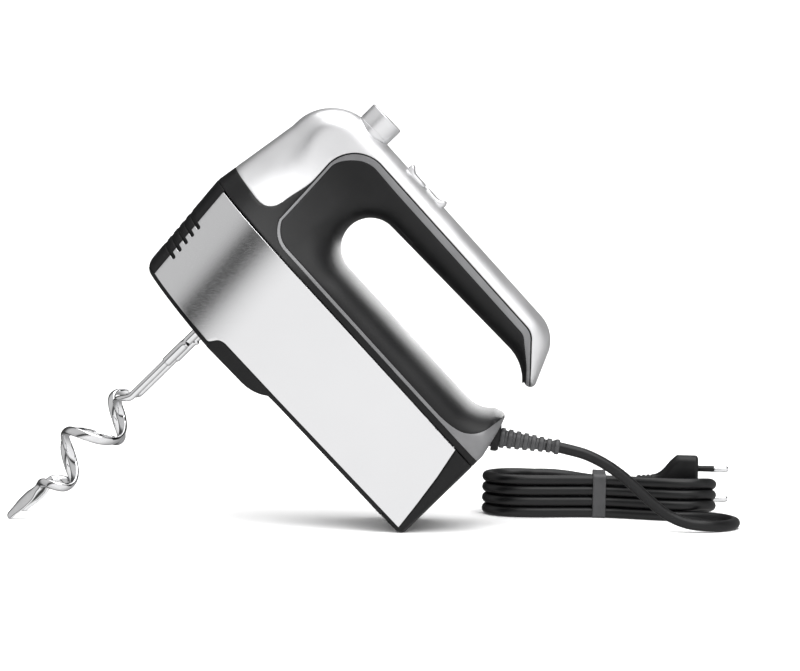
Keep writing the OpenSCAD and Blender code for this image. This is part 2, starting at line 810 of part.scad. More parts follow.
// A tube along points, each with its own half thickness and half width.
function sweep_points(mid, sizes, sides, ways) =
    let (last = len(mid) - 1,
         along = [for (i = [0 : last]) unit(mid[min(i + 1, last)] - mid[max(i - 1, 0)])],
         across = is_undef(ways) ? carried(along)
             : [for (i = [0 : last]) unit(ways[i] - (ways[i] * along[i]) * along[i])])
    [for (i = [0 : last], j = [0 : sides - 1])
        let (b = 360 * j / sides)
        mid[i] + sizes[i][0] * cos(b) * across[i] + sizes[i][1] * sin(b) * cross(along[i], across[i])];
module tube(mid, sizes, sides, ways) {
    polyhedron(sweep_points(mid, sizes, sides, ways), tube_faces(len(mid) - 1, sides));
}
module dough_hook(side) {
    heights = [for (i = [0 : hook_rings]) curl_start + (tip_z - curl_start) * i / hook_rings];
    color(chrome) translate([spindle_x, side * spindle_y, 0]) {
        translate([0, 0, neck_top]) cylinder(h = hook_top - neck_top, r = hook_wire / 2);
        translate([0, 0, curl_start]) cylinder(h = neck_top - curl_start + 1, r = neck_r);
        slab(-1.05, 1.05, -5, 5, -1, 4.5);
        tube([for (z = heights) hook_mid(z, side)], [for (z = heights) strip_size(z)], 10,
            [for (z = heights) curl_way(z, side)]);
        translate([0, 0, tip_z]) sphere(r = tip_r, $fn = 24);
    }
}

// Screws through the base into the tub.
module housing_screws() {
    color(iron) for (x = screw_x, side = [-1, 1])
        translate([x, side * 22, x > 100 ? 0.9 : -1.2]) cylinder(h = 8, r = 1.7);
}

// Lead outlet: clamp inside, ribbed strain relief outside.
gland_r = 6.2;
gland_tilt = lean - 8;
gland_at = [208, 0, 75];
relief_len = 40;
module lead_clamp() {
    color(black) slab(190, 196, -9, 9, 63, 69);
}
module strain_relief() {
    ribs = 6;
    rib_pitch = 4.6;
    color(grey) translate(gland_at) rotate([0, 90 - gland_tilt, 0]) difference() {
        union() {
            translate([0, 0, -6]) cylinder(h = 7, r = gland_r);
            translate([0, 0, 1]) cylinder(h = relief_len - 1, r1 = 5.1, r2 = 3.7);
            for (i = [0 : ribs - 1])
                translate([0, 0, 5 + i * rib_pitch])
                    cylinder(h = 2.4, r1 = 6.1 - i * 0.28, r2 = 6.0 - i * 0.28);
        }
        translate([0, 0, -8]) cylinder(h = relief_len - 2, r = lead_d / 2 + 0.02);
        translate([0, 0, relief_len - 12]) cylinder(h = 20, r = lead_d / 2 + 0.02);
    }
}

// The lead's route down to the surface, up to where it enters the hank.
lead_z = lead_d / 2 + 0.1;
hank_turns = 3;
hank_x = 190;
hank_y = 75;
fold_r = fold * lead_d / 2;
waist = 11;
lead_route = [
    [160, 0, 49], [168, 0, 47.5], [180, 0, 44.5], [191, 0, 39.5], [201, 0, 33], [210, 0, 25.5],
    [219, 0, 17.5], [229, 0, 10], [241, 0.5, 5.2], [255, 4, lead_z + 0.3], [265, 13, lead_z],
    [270, 26, lead_z], [268, 38, lead_z], [261, 48, lead_z], [250, 54, lead_z], [238, 55.8, lead_z]
];
tail_route = [
    [152, 94.6, 22.9], [161, 95, 22.8], [170, 96.4, 22], [180, 99.2, 20.4], [191, 103, 18.8],
    [202, 106, 18], [214, 107, 18]
];
// A smooth curve through the route's points, steps rings to each stretch.
function between(p, i, t) =
    let (a = p[max(i - 1, 0)], b = p[i], c = p[i + 1], d = p[min(i + 2, len(p) - 1)])
    0.5 * (2 * b + (c - a) * t + (2 * a - 5 * b + 4 * c - d) * t * t + (3 * b - a - 3 * c + d) * t * t * t);
function smooth(p, steps) = concat(
    [for (i = [0 : len(p) - 2], k = [0 : steps - 1]) between(p, i, k / steps)],
    [p[len(p) - 1]]
);
module lead_along(route, steps) {
    mid = smooth(route, steps);
    tube(mid, [for (p = mid) [lead_d / 2, lead_d / 2]], 10);
}
module mains_lead() {
    color(black) lead_along(lead_route, 3);
}
module lead_tail() {
    color(black) lead_along(tail_route, 3);
}

// The hank: end loops with runs that a tie draws together at the waist.
function run_y(x) = waist + (fold_r - waist) * (1 - cos(180 * x / hank_half)) / 2;
module lead_hank() {
    r = lead_d / 2;
    edge = [for (i = [-6 : 6]) let (x = hank_half * i / 6) [x, run_y(abs(x)) + r]];
    loop = arc(hank_half, 0, fold_r + r, 90, -90, 12);
    color(black) translate([hank_x, hank_y, 0]) linear_extrude((hank_turns + 1) * lead_d) polygon(concat(
        edge, loop, [for (p = edge) [-p[0], -p[1]]], [for (p = loop) [-p[0], -p[1]]]
    ));
}
module hank_tie() {
    w = waist + lead_d / 2 + 0.5;
    h = (hank_turns + 1) * lead_d;
    color(grey) difference() {
        translate([hank_x - 4, hank_y - w - 1, 0.1]) cube([8, 2 * w + 2, h + 1.4]);
        translate([hank_x - 5, hank_y - w, -1]) cube([10, 2 * w, h + 1.3]);
    }
}

// Flat two-pin plug, standing on its edge beside the hank.
plug_at = [214, 107, 18];
plug_half = 17.6;
plug_pitch = 18.6;
module plug_body() {
    thick = 13.6;
    color(black) translate(plug_at) {
        rotate([90, 0, 0]) linear_extrude(thick, center = true) polygon([
            [12, -5], [12, 5], [24, 15], [28, plug_half - 0.2], [38, plug_half - 0.2], [38, -plug_half],
            [28, -plug_half], [24, -15]
        ]);
        rotate([0, 90, 0]) difference() {
            cylinder(h = 14, r1 = 4.2, r2 = 5.6);
            translate([0, 0, -1]) cylinder(h = 3, r = 3);
        }
    }
}
module plug_pins() {
    color(brass) for (end = [-1, 1])
        translate(plug_at + [38, 0, end * plug_pitch / 2]) rotate([0, 90, 0]) {
            cylinder(h = 17.5, r = 2);
            translate([0, 0, 17.5]) cylinder(h = 1.5, r1 = 2, r2 = 1.2);
        }
}

stand() side_panel(1);  // side_panel_left
stand() side_panel(-1);  // side_panel_right
stand() front_grille();
stand() base_tray();
stand() motor_tub();
stand() rear_cap();
stand() collar_cover();
stand() saddle_grip();
stand() handle_grip();
stand() grip_trim();
stand() top_shell();
stand() speed_dial();
stand() dial_shaft();
stand() speed_switch();
stand() handle_frame();
stand() eject_button();
stand() eject_rod();
stand() eject_yoke();
stand() eject_spring();
stand() turbo_button();
stand() turbo_switch();
stand() turbo_spring();
stand() control_board();
stand() motor_shaft();
stand() worm();
stand() armature_core();
stand() armature_windings();
stand() commutator();
stand() cooling_fan();
stand() stator_core();
stand() field_coils();
stand() brush_holders();
stand() carbon_brushes();
stand() motor_bearings();
stand() motor_bracket_front();
stand() motor_bracket_rear();
stand() gear_case();
stand() gear_case_cover();
stand() gear_case_screws();
stand() worm_wheel(1);  // worm_wheel_left
stand() worm_wheel(-1);  // worm_wheel_right
stand() spindle(1);  // spindle_left
stand() spindle(-1);  // spindle_right
stand() spindle_bushes();
stand() eject_pin(1);  // eject_pin_left
stand() eject_pin(-1);  // eject_pin_right
stand() dough_hook(1);  // dough_hook_left
stand() dough_hook(-1);  // dough_hook_right
stand() housing_screws();
stand() lead_clamp();
stand() strain_relief();
mains_lead();
lead_hank();
hank_tie();
lead_tail();
plug_body();
plug_pins();
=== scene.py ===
"""Looks of the hand mixer. The mixer's own upright frame (millimetres, x rearward, z up) is called M here."""
import bpy
import bmesh
import json
import math
import numpy as np
from mathutils import Matrix, Vector
from mathutils.geometry import delaunay_2d_cdt


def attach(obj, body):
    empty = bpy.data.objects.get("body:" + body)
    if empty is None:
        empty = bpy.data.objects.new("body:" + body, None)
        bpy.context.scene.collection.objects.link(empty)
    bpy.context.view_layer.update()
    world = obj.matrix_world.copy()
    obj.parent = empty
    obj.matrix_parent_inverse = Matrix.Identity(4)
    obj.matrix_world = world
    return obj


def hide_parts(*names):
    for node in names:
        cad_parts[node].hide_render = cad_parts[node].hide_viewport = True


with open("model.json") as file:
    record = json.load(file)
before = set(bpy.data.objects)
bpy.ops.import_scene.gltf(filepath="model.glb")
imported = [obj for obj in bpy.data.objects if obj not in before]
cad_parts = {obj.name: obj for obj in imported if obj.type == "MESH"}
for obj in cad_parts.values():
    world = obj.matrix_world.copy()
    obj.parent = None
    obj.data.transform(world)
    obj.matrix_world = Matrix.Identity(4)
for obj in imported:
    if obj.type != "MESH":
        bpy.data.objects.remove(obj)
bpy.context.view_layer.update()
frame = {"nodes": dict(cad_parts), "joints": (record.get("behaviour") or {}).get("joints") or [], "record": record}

# ---------------------------------------------------------------- frame of the mixer
joints = {j["name"]: j for j in frame["joints"]}
AX = np.array(joints["rotor_spin"]["axis"], float)
AZ = -np.array(joints["dial_turn"]["axis"], float)
AX, AZ = AX / np.linalg.norm(AX), AZ / np.linalg.norm(AZ)
AY = np.array([0.0, 1.0, 0.0])
ORIGIN = np.array(joints["rotor_spin"]["pos_m"], float) - 0.100 * AX - 0.031 * AZ
LEAN = math.atan2(-AX[2], AX[0])


def row(points):
    """Points of M in millimetres, as points of the row frame in metres."""
    p = np.asarray(points, float).reshape(-1, 3) / 1000
    return ORIGIN + p[:, :1] * AX + p[:, 1:2] * AY + p[:, 2:3] * AZ


# ---------------------------------------------------------------- camera
def make_camera():
    """Looks at the mixer's near side from a little right of square and a little above."""
    azimuth, elevation, roll = 3.0, 3.0, 1.143
    distance, lens, target = 1.6, 122.64, (0.069825, 0, 0.111834)
    a, e, r = (math.radians(v) for v in (azimuth, elevation, roll))
    back = Vector((math.sin(a) * math.cos(e), -math.cos(a) * math.cos(e), math.sin(e)))
    right = Vector((math.cos(a), math.sin(a), 0))
    up = back.cross(right)
    x = right * math.cos(r) + up * math.sin(r)
    y = -right * math.sin(r) + up * math.cos(r)
    data = bpy.data.cameras.new("camera")
    data.sensor_width, data.lens = 36, lens
    data.clip_start, data.clip_end = 0.05, 30
    cam = bpy.data.objects.new("camera", data)
    at = Vector(target) + back * distance
    cam.matrix_world = Matrix(((x[0], y[0], back[0], at[0]), (x[1], y[1], back[1], at[1]),
                               (x[2], y[2], back[2], at[2]), (0, 0, 0, 1)))
    bpy.context.scene.collection.objects.link(cam)
    bpy.context.scene.camera = cam


make_camera()


# ---------------------------------------------------------------- materials
class Nodes:
    """A small helper that adds shader nodes and links them."""

    def __init__(self, name):
        self.mat = bpy.data.materials.new(name)
        self.mat.use_nodes = True
        self.tree = self.mat.node_tree
        self.shader = self.tree.nodes["Principled BSDF"]
        coord = self.add("ShaderNodeTexCoord")
        self.at = coord.outputs["Object"]

    def add(self, kind, **values):
        node = self.tree.nodes.new(kind)
        for key, value in values.items():
            setattr(node, key, value)
        return node

    def link(self, a, b):
        self.tree.links.new(a, b)

    def mapped(self, scale, turn=0.0):
        """Coordinates in metres, turned about Y by turn and stretched by scale."""
        node = self.add("ShaderNodeMapping", vector_type="POINT")
        node.inputs["Rotation"].default_value = (0, turn, 0)
        node.inputs["Scale"].default_value = scale
        self.link(self.at, node.inputs["Vector"])
        return node.outputs["Vector"]

    def noise(self, vector, scale, detail=3.0, rough=0.55):
        node = self.add("ShaderNodeTexNoise")
        node.inputs["Scale"].default_value = scale
        node.inputs["Detail"].default_value = detail
        node.inputs["Roughness"].default_value = rough
        self.link(vector, node.inputs["Vector"])
        return node.outputs["Fac"]

    def spread(self, value, low, high):
        """The middle of a noise value's range, stretched from low to high."""
        node = self.add("ShaderNodeMapRange")
        for key, v in (("From Min", 0.3), ("From Max", 0.7), ("To Min", low), ("To Max", high)):
            node.inputs[key].default_value = v
        self.link(value, node.inputs["Value"])
        return node.outputs["Result"]

    def tint(self, value, dark, light, start=0.3, end=0.7):
        node = self.add("ShaderNodeValToRGB")
        node.color_ramp.elements[0].position, node.color_ramp.elements[1].position = start, end
        node.color_ramp.elements[0].color = (*dark, 1)
        node.color_ramp.elements[1].color = (*light, 1)
        self.link(value, node.inputs["Fac"])
        self.link(node.outputs["Color"], self.shader.inputs["Base Color"])

    def bump(self, value, strength, distance):
        node = self.add("ShaderNodeBump")
        node.inputs["Strength"].default_value = strength
        node.inputs["Distance"].default_value = distance
        self.link(value, node.inputs["Height"])
        self.link(node.outputs["Normal"], self.shader.inputs["Normal"])

    def set(self, **values):
        for key, value in values.items():
            self.shader.inputs[key.replace("_", " ")].default_value = value
        return self


def brushed(name, dark, light, rough, along=(3, 300, 300), turn=0.0, bump=0.12, depth=2e-5):
    n = Nodes(name)
    lines = n.noise(n.mapped(along, turn), 3.0, 4.0, 0.7)
    cloud = n.noise(n.mapped((1, 1, 1)), 18.0, 2.0)
    n.tint(lines, dark, light, 0.25, 0.75)
    mix = n.add("ShaderNodeMath", operation="ADD")
    n.link(n.spread(lines, rough - 0.05, rough + 0.05), mix.inputs[0])
    n.link(n.spread(cloud, -0.02, 0.02), mix.inputs[1])
    n.link(mix.outputs[0], n.shader.inputs["Roughness"])
    n.bump(lines, bump, depth)
    n.set(Metallic=1.0)
    return n.mat


def plastic(name, dark, light, rough, grain=2200.0, bump=0.25, depth=4e-5, coat=0.0, level=0.5,
            metallic=0.0):
    n = Nodes(name)
    fine = n.noise(n.mapped((1, 1, 1)), grain, 2.0, 0.6)
    cloud = n.noise(n.mapped((1, 1, 1)), 40.0, 3.0)
    n.tint(cloud, dark, light)
    mix = n.add("ShaderNodeMath", operation="ADD")
    n.link(n.spread(fine, rough - 0.04, rough + 0.04), mix.inputs[0])
    n.link(n.spread(cloud, -0.03, 0.03), mix.inputs[1])
    n.link(mix.outputs[0], n.shader.inputs["Roughness"])
    n.bump(fine, bump, depth)
    n.set(Metallic=metallic, Coat_Weight=coat, Coat_Roughness=0.25)
    n.shader.inputs["Specular IOR Level"].default_value = level
    return n.mat


MAT = {
    "steel": brushed("brushed_steel", (0.81, 0.81, 0.82), (0.86, 0.86, 0.87),
                     0.22, (5, 700, 700), LEAN, 0.015, depth=1e-5),
    "satin": plastic("satin_silver", (0.80, 0.80, 0.81), (0.86, 0.86, 0.87),
                     0.40, 3000, 0.10, 2e-5, 0.0, metallic=0.92),
    "black": plastic("black_plastic", (0.004, 0.004, 0.0045), (0.007, 0.007, 0.0075),
                     0.34, 1500, 0.18, 4e-5, level=0.28),
    "soft": plastic("soft_grip", (0.005, 0.005, 0.0055), (0.009, 0.009, 0.0095),
                    0.46, 1800, 0.25, 5e-5, level=0.30),
    "trim": plastic("grey_trim", (0.17, 0.17, 0.175), (0.23, 0.23, 0.235),
                    0.38, 2200, 0.12, 3e-5, metallic=0.35),
    "chrome": brushed("polished_chrome", (0.80, 0.80, 0.81), (0.88, 0.88, 0.89),
                      0.10, (60, 60, 60), 0, 0.02),
    "ground": brushed("ground_steel", (0.46, 0.46, 0.47), (0.62, 0.62, 0.63),
                      0.30, (4, 240, 240), LEAN, 0.15),
    "lamination": brushed("lamination", (0.12, 0.125, 0.13), (0.24, 0.245, 0.25),
                          0.45, (900, 3, 3), LEAN, 0.4),
    "copper": brushed("copper_wire", (0.45, 0.17, 0.07), (0.70, 0.34, 0.16),
                      0.30, (500, 20, 20), LEAN, 0.5),
    "brass": brushed("turned_brass", (0.58, 0.42, 0.18), (0.76, 0.60, 0.30),
                     0.24, (260, 40, 40), 0, 0.10),
    "nylon": plastic("white_nylon", (0.66, 0.64, 0.56), (0.78, 0.76, 0.68), 0.45, 900, 0.2),
    "dark_nylon": plastic("dark_nylon", (0.020, 0.021, 0.023), (0.042, 0.043, 0.046), 0.50, 1200, 0.35),
    "carbon": plastic("carbon", (0.010, 0.010, 0.010), (0.030, 0.030, 0.030), 0.62, 1500, 0.5),
    "board": plastic("solder_mask", (0.012, 0.075, 0.030), (0.022, 0.115, 0.050),
                     0.28, 700, 0.15, coat=0.4),
    "lead": plastic("lead_sheath", (0.004, 0.004, 0.0045), (0.008, 0.008, 0.0085),
                    0.36, 1400, 0.25, level=0.35),
    "relief": plastic("relief_rubber", (0.045, 0.045, 0.047), (0.075, 0.075, 0.078), 0.46, 1300, 0.3),
}
SLOT_LOOK = {
    "side_steel": "steel", "satin_silver": "satin", "black_plastic": "black", "soft_grip": "soft",
    "grey_trim": "trim", "chrome_steel": "chrome", "drive_steel": "ground", "lamination": "lamination",
    "copper": "copper", "brass": "brass", "white_nylon": "nylon", "dark_nylon": "dark_nylon",
    "carbon": "carbon", "board": "board", "lead_sheath": "lead", "relief_grey": "relief",
}


# ---------------------------------------------------------------- making objects
def object_of(name, verts, faces, look):
    """A mesh object from points in the row frame."""
    mesh = bpy.data.meshes.new(name)
    mesh.from_pydata([tuple(v) for v in verts], [], [tuple(f) for f in faces])
    mesh.validate()
    mesh.polygons.foreach_set("use_smooth", [True] * len(mesh.polygons))
    mesh.materials.append(MAT[look])
    obj = bpy.data.objects.new(name, mesh)
    bpy.context.scene.collection.objects.link(obj)
    return obj


def place(obj, body, slot, *nodes):
    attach(obj, body)
    if nodes:
        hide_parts(*nodes)
    return obj


def modifier(obj, kind, **values):
    m = obj.modifiers.new(kind.lower(), kind)
    for key, value in values.items():
        setattr(m, key, value)
    return m


def settle(obj):
    """Replaces the object's mesh by what its modifiers make."""
    graph = bpy.context.evaluated_depsgraph_get()
    graph.update()
    mesh = bpy.data.meshes.new_from_object(obj.evaluated_get(graph))
    obj.modifiers.clear()
    obj.data = mesh
    return obj


def crease(obj, angle=35.0):
    """Smooth shading with sharp edges above an angle."""
    mesh = obj.data
    bm = bmesh.new()
    bm.from_mesh(mesh)
    limit = math.radians(angle)
    for e in bm.edges:
        e.smooth = len(e.link_faces) != 2 or e.calc_face_angle(0.0) < limit
    for f in bm.faces:
        f.smooth = True
    bm.to_mesh(mesh)
    bm.free()
    return obj


def clean(obj):
    """Welds points that fall together and turns every face outwards."""
    bm = bmesh.new()
    bm.from_mesh(obj.data)
    bmesh.ops.remove_doubles(bm, verts=bm.verts, dist=1e-6)
    bmesh.ops.recalc_face_normals(bm, faces=bm.faces)
    bm.to_mesh(obj.data)
    bm.free()
    return obj


# ---------------------------------------------------------------- outlines in the side view of M
def arc(x, z, r, start, end, n=16):
    a = np.radians(np.linspace(start, end, n + 1))
    return [(x + r * math.cos(t), z + r * math.sin(t)) for t in a]


def resample(points, step):
    p = np.asarray(points, float)
    out = [p[0]]
    for a, b in zip(p[:-1], p[1:]):
        n = max(1, int(math.ceil(np.linalg.norm(b - a) / step)))
        out += [a + (b - a) * k / n for k in range(1, n + 1)]
    return np.array(out)


def rounded(points, radius, n=5):
    """An open line with its inner corners rounded."""
    p = [np.asarray(q, float) for q in points]
    out = [p[0]]
    for a, b, c in zip(p[:-2], p[1:-1], p[2:]):
        ra = min(radius, 0.45 * np.linalg.norm(a - b), 0.45 * np.linalg.norm(c - b))
        s, e = b + (a - b) / np.linalg.norm(a - b) * ra, b + (c - b) / np.linalg.norm(c - b) * ra
        out += [(1 - t) ** 2 * s + 2 * t * (1 - t) * b + t * t * e for t in np.linspace(0, 1, n)]
    return np.array(out + [p[-1]])


def inside(poly, pts):
    poly, pts = np.asarray(poly, float), np.asarray(pts, float)
    res = np.zeros(len(pts), bool)
    for (x0, z0), (x1, z1) in zip(poly, np.roll(poly, -1, 0)):
        if z0 == z1:
            continue
        hit = ((z0 > pts[:, 1]) != (z1 > pts[:, 1])) & (
            pts[:, 0] < (x1 - x0) * (pts[:, 1] - z0) / (z1 - z0) + x0)
        res ^= hit
    return res


def distance(line, pts):
    line, pts = np.asarray(line, float), np.asarray(pts, float)
    best = np.full(len(pts), 1e9)
    for a, b in zip(line[:-1], line[1:]):
        d = b - a
        t = np.clip(((pts - a) @ d) / max(d @ d, 1e-12), 0, 1)
        best = np.minimum(best, np.linalg.norm(pts - a - t[:, None] * d, axis=1))
    return best


def step01(a, b, x):
    t = np.clip((x - a) / (b - a), 0, 1)
    return t * t * (3 - 2 * t)


NOSE_REACH, NOSE_FOOT, SEAM_FRONT, SEAM_REAR, LENGTH = 12.0, 6.0, 65.0, 57.0, 211.0
RAKE = math.atan2(NOSE_REACH - NOSE_FOOT, SEAM_FRONT)


def front_x(z):
    return -NOSE_FOOT - z * math.tan(RAKE)


def seam(x):
    return SEAM_FRONT + (SEAM_REAR - SEAM_FRONT) * (np.asarray(x, float) + NOSE_REACH) / (LENGTH + NOSE_REACH)


TOP, UNDER, OPEN_R = 151.0, 118.5, 17.5
OPEN_X, OPEN_Z = 79.0, UNDER - OPEN_R
CROWN = OPEN_Z - OPEN_R
NOSE_Z = TOP - 6 - 22
OUT_LINE = resample([(-12.0, 65.0), (-4.0, UNDER)] + arc(26, TOP - 30, 30, 174, 93, 24)
                    + arc(176, NOSE_Z, 22, 87, 30, 16) + arc(200.3, 113.6, 3.6, 25, -50, 8), 1.6)
OPEN_LINE = resample(arc(200.3, 113.6, 3.6, -50, -120, 6) + arc(177, 90.5, 28, 42, 90, 14)
                     + arc(OPEN_X, OPEN_Z, OPEN_R, 90, 270, 36) + [(176, CROWN - 3)]
                     + arc(182, CROWN + 17, 20, 275, 322, 10) + arc(202.5, 86.3, 3.2, 130, 13, 8), 1.6)
REAR_LINE = resample([tuple(OPEN_LINE[-1]), (211.0, 65.0), (211.0, float(seam(211)) + 0.15)], 1.6)
SEAM_LINE = resample([(x, float(seam(x)) + 0.15) for x in np.linspace(211, -12, 60)], 1.6)
UPPER = np.vstack([OUT_LINE[:-1], OPEN_LINE[:-1], REAR_LINE[:-1], SEAM_LINE[:-1]])


def upper_height(p):
    x, z = p[:, 0], p[:, 1]
    flare = 17.5 + 21.9 * np.maximum(0, 1 - (z - 65) / 60) ** 1.8
    wide = step01(50, 90, x) * step01(99, 84, z)
    w = flare + (39.4 - flare) * wide
    d = distance(OUT_LINE, p)
    r = 14 + 58 * np.maximum(0, 1 - (z - 65) / 70) ** 1.5
    t = np.minimum(d, r) / r
    out = (1 - (1 - t) ** 2.22) ** (1 / 2.22)
    d = distance(OPEN_LINE, p)
    r = 13.5 + 5 * step01(97, 84, z)
    t = np.minimum(d, r) / r
    gap = (1 - (1 - t) ** 2.3) ** (1 / 2.3)
    h = w * out * gap
    d = np.minimum(distance(REAR_LINE, p), 7)
    return h * (1 - (7 - np.sqrt(49 - (7 - d) ** 2)) / 39.4)


BELLY = -4.0
LOWER_FRONT = resample([(-12.0 + 0.05, float(seam(-12)) - 0.15)] + arc(1.5, 7.6, 8, 185, 266, 12), 1.6)
LOWER_BOTTOM = resample([tuple(LOWER_FRONT[-1]), (50, BELLY + 0.4), (56, BELLY), (84, BELLY)]
                        + arc(84, BELLY + 26, 26, 278, 308, 8) + [(108, 1.6), (194.2, 0.0)], 1.6)
LOWER_REAR = resample([(194.2, 0.0)] + arc(207, 4, 4, 270, 360, 8) + [(211.0, float(seam(211)) - 0.15)], 1.6)
LOWER_TOP = resample([(x, float(seam(x)) - 0.15) for x in np.linspace(211, -11.95, 60)], 1.6)
LOWER = np.vstack([LOWER_FRONT[:-1], LOWER_BOTTOM[:-1], LOWER_REAR[:-1], LOWER_TOP[:-1]])


def behind(p):
    """Distance behind the raked front plane."""
    return (p[:, 0] + NOSE_FOOT) * math.cos(RAKE) + p[:, 1] * math.sin(RAKE)


def lower_height(p):
    x = p[:, 0]
    b = np.clip(behind(p), 0, 72)
    h = 40 * (1 - (1 - b / 72) ** 2.222) ** 0.45
    t = np.clip(x - 204, 0, 7)
    h = h - 7 + np.sqrt(49 - t ** 2)
    d = np.minimum(distance(LOWER_REAR[:14], p), 3)
    return h - np.where(x > 190, 3 - np.sqrt(9 - (3 - d) ** 2), 0)


# ---------------------------------------------------------------- the skin over a side view
def triangulate(domain, lines, steep, spacing, keep=0.55):
    """Triangles over a side-view outline, with lines as edges and closer points by the steep lines."""
    pts, edges = [], []

    def add(line, closed=False):
        base = len(pts)
        pts.extend([tuple(q) for q in line])
        n = len(line)
        edges.extend([(base + i, base + i + 1) for i in range(n - 1)])
        if closed:
            edges.append((base + n - 1, base))

    add(domain, True)
    for line in lines:
        add(line)
    fixed = [np.vstack([domain, domain[:1]])] + [np.asarray(q) for q in lines]
    free = []
    for line in steep:
        line = np.asarray(line)
        tangent = np.gradient(line, axis=0)
        tangent /= np.maximum(np.linalg.norm(tangent, axis=1), 1e-9)[:, None]
        normal = np.stack([tangent[:, 1], -tangent[:, 0]], 1)
        for off, every in ((0.10, 1), (0.42, 1), (1.0, 1), (1.9, 1), (3.1, 2), (4.6, 2)):
            for side in (1, -1):
                q = line + side * off * normal
                q = q[::every]
                ok = inside(domain, q) & (distance(line, q) > 0.93 * off)
                free.append(q[ok])
    ring = np.vstack(free) if free else np.zeros((0, 2))
    lo, hi = domain.min(0), domain.max(0)
    xs = np.arange(lo[0], hi[0], spacing)
    zs = np.arange(lo[1], hi[1], spacing * 0.866)
    grid = np.array([(x + (i % 2) * spacing / 2, z) for i, z in enumerate(zs) for x in xs])
    grid = grid[inside(domain, grid)]
    near = np.full(len(grid), 1e9)
    for line in steep:
        near = np.minimum(near, distance(line, grid))
    grid = grid[near > 5.6] if len(steep) else grid
    free = np.vstack([ring, grid])
    for k, line in enumerate(fixed):
        limit = 0.06 if k == 0 else keep
        free = free[distance(line, free) > limit]
    pts.extend([tuple(q) for q in free])
    out = delaunay_2d_cdt([Vector(q) for q in pts], edges, [], 0, 1e-5)
    verts = np.array([tuple(v) for v in out[0]])
    tris = np.array([tuple(f) for f in out[2] if len(f) == 3])
    mid = verts[tris].mean(1)
    tris = tris[inside(domain, mid)]
    a, b, c = verts[tris[:, 0]], verts[tris[:, 1]], verts[tris[:, 2]]
    area = (b[:, 0] - a[:, 0]) * (c[:, 1] - a[:, 1]) - (b[:, 1] - a[:, 1]) * (c[:, 0] - a[:, 0])
    tris = np.where((area > 0)[:, None], tris, tris[:, ::-1])
    return verts, tris[np.abs(area) > 1e-6]


def skin_object(name, verts, tris, height, look, sides=(1, -1), bridge=None, inset=0.0):
    """A piece of skin on one or both sides, welded at the middle and closed across along the bridge line."""
    across = 14
    used = np.unique(tris)
    index = {int(v): i for i, v in enumerate(used)}
    flat = verts[used]
    h = np.maximum(height(flat) - inset, 0)
    h[h < 0.4] = 0
    out, faces, at = [], [], {}
    for side in sides:
        for i in range(len(used)):
            key = (i, 0 if h[i] == 0 else side)
            if key not in at:
                at[key] = len(out)
                out.append((flat[i, 0], side * h[i], flat[i, 1]))
    flush = h == 0
    solid = [t for t in tris if not all(flush[index[int(v)]] for v in t)]
    for side in sides:
        for t in solid:
            f = [at[(index[int(v)], 0 if h[index[int(v)]] == 0 else side)] for v in t]
            if len(set(f)) == 3:
                faces.append(f if side < 0 else f[::-1])
    if bridge is not None:
        chain = []
        for q in bridge:
            d = np.linalg.norm(flat - q, axis=1)
            i = int(d.argmin())
            if d[i] < 0.02:
                chain.append(i)
        rows = []
        for i in chain:
            if h[i] == 0:
                rows.append([at[(i, 0)]] * (across + 1))
                continue
            line = [at[(i, -1)]]
            for k in range(1, across):
                line.append(len(out))
                out.append((flat[i, 0], h[i] * (2 * k / across - 1), flat[i, 1]))
            rows.append(line + [at[(i, 1)]])
        for a, b in zip(rows[:-1], rows[1:]):
            for k in range(across):
                f = list(dict.fromkeys([a[k], a[k + 1], b[k + 1], b[k]]))
                if len(f) >= 3:
                    faces.append(f)
    return object_of(name, row(out), faces, look)


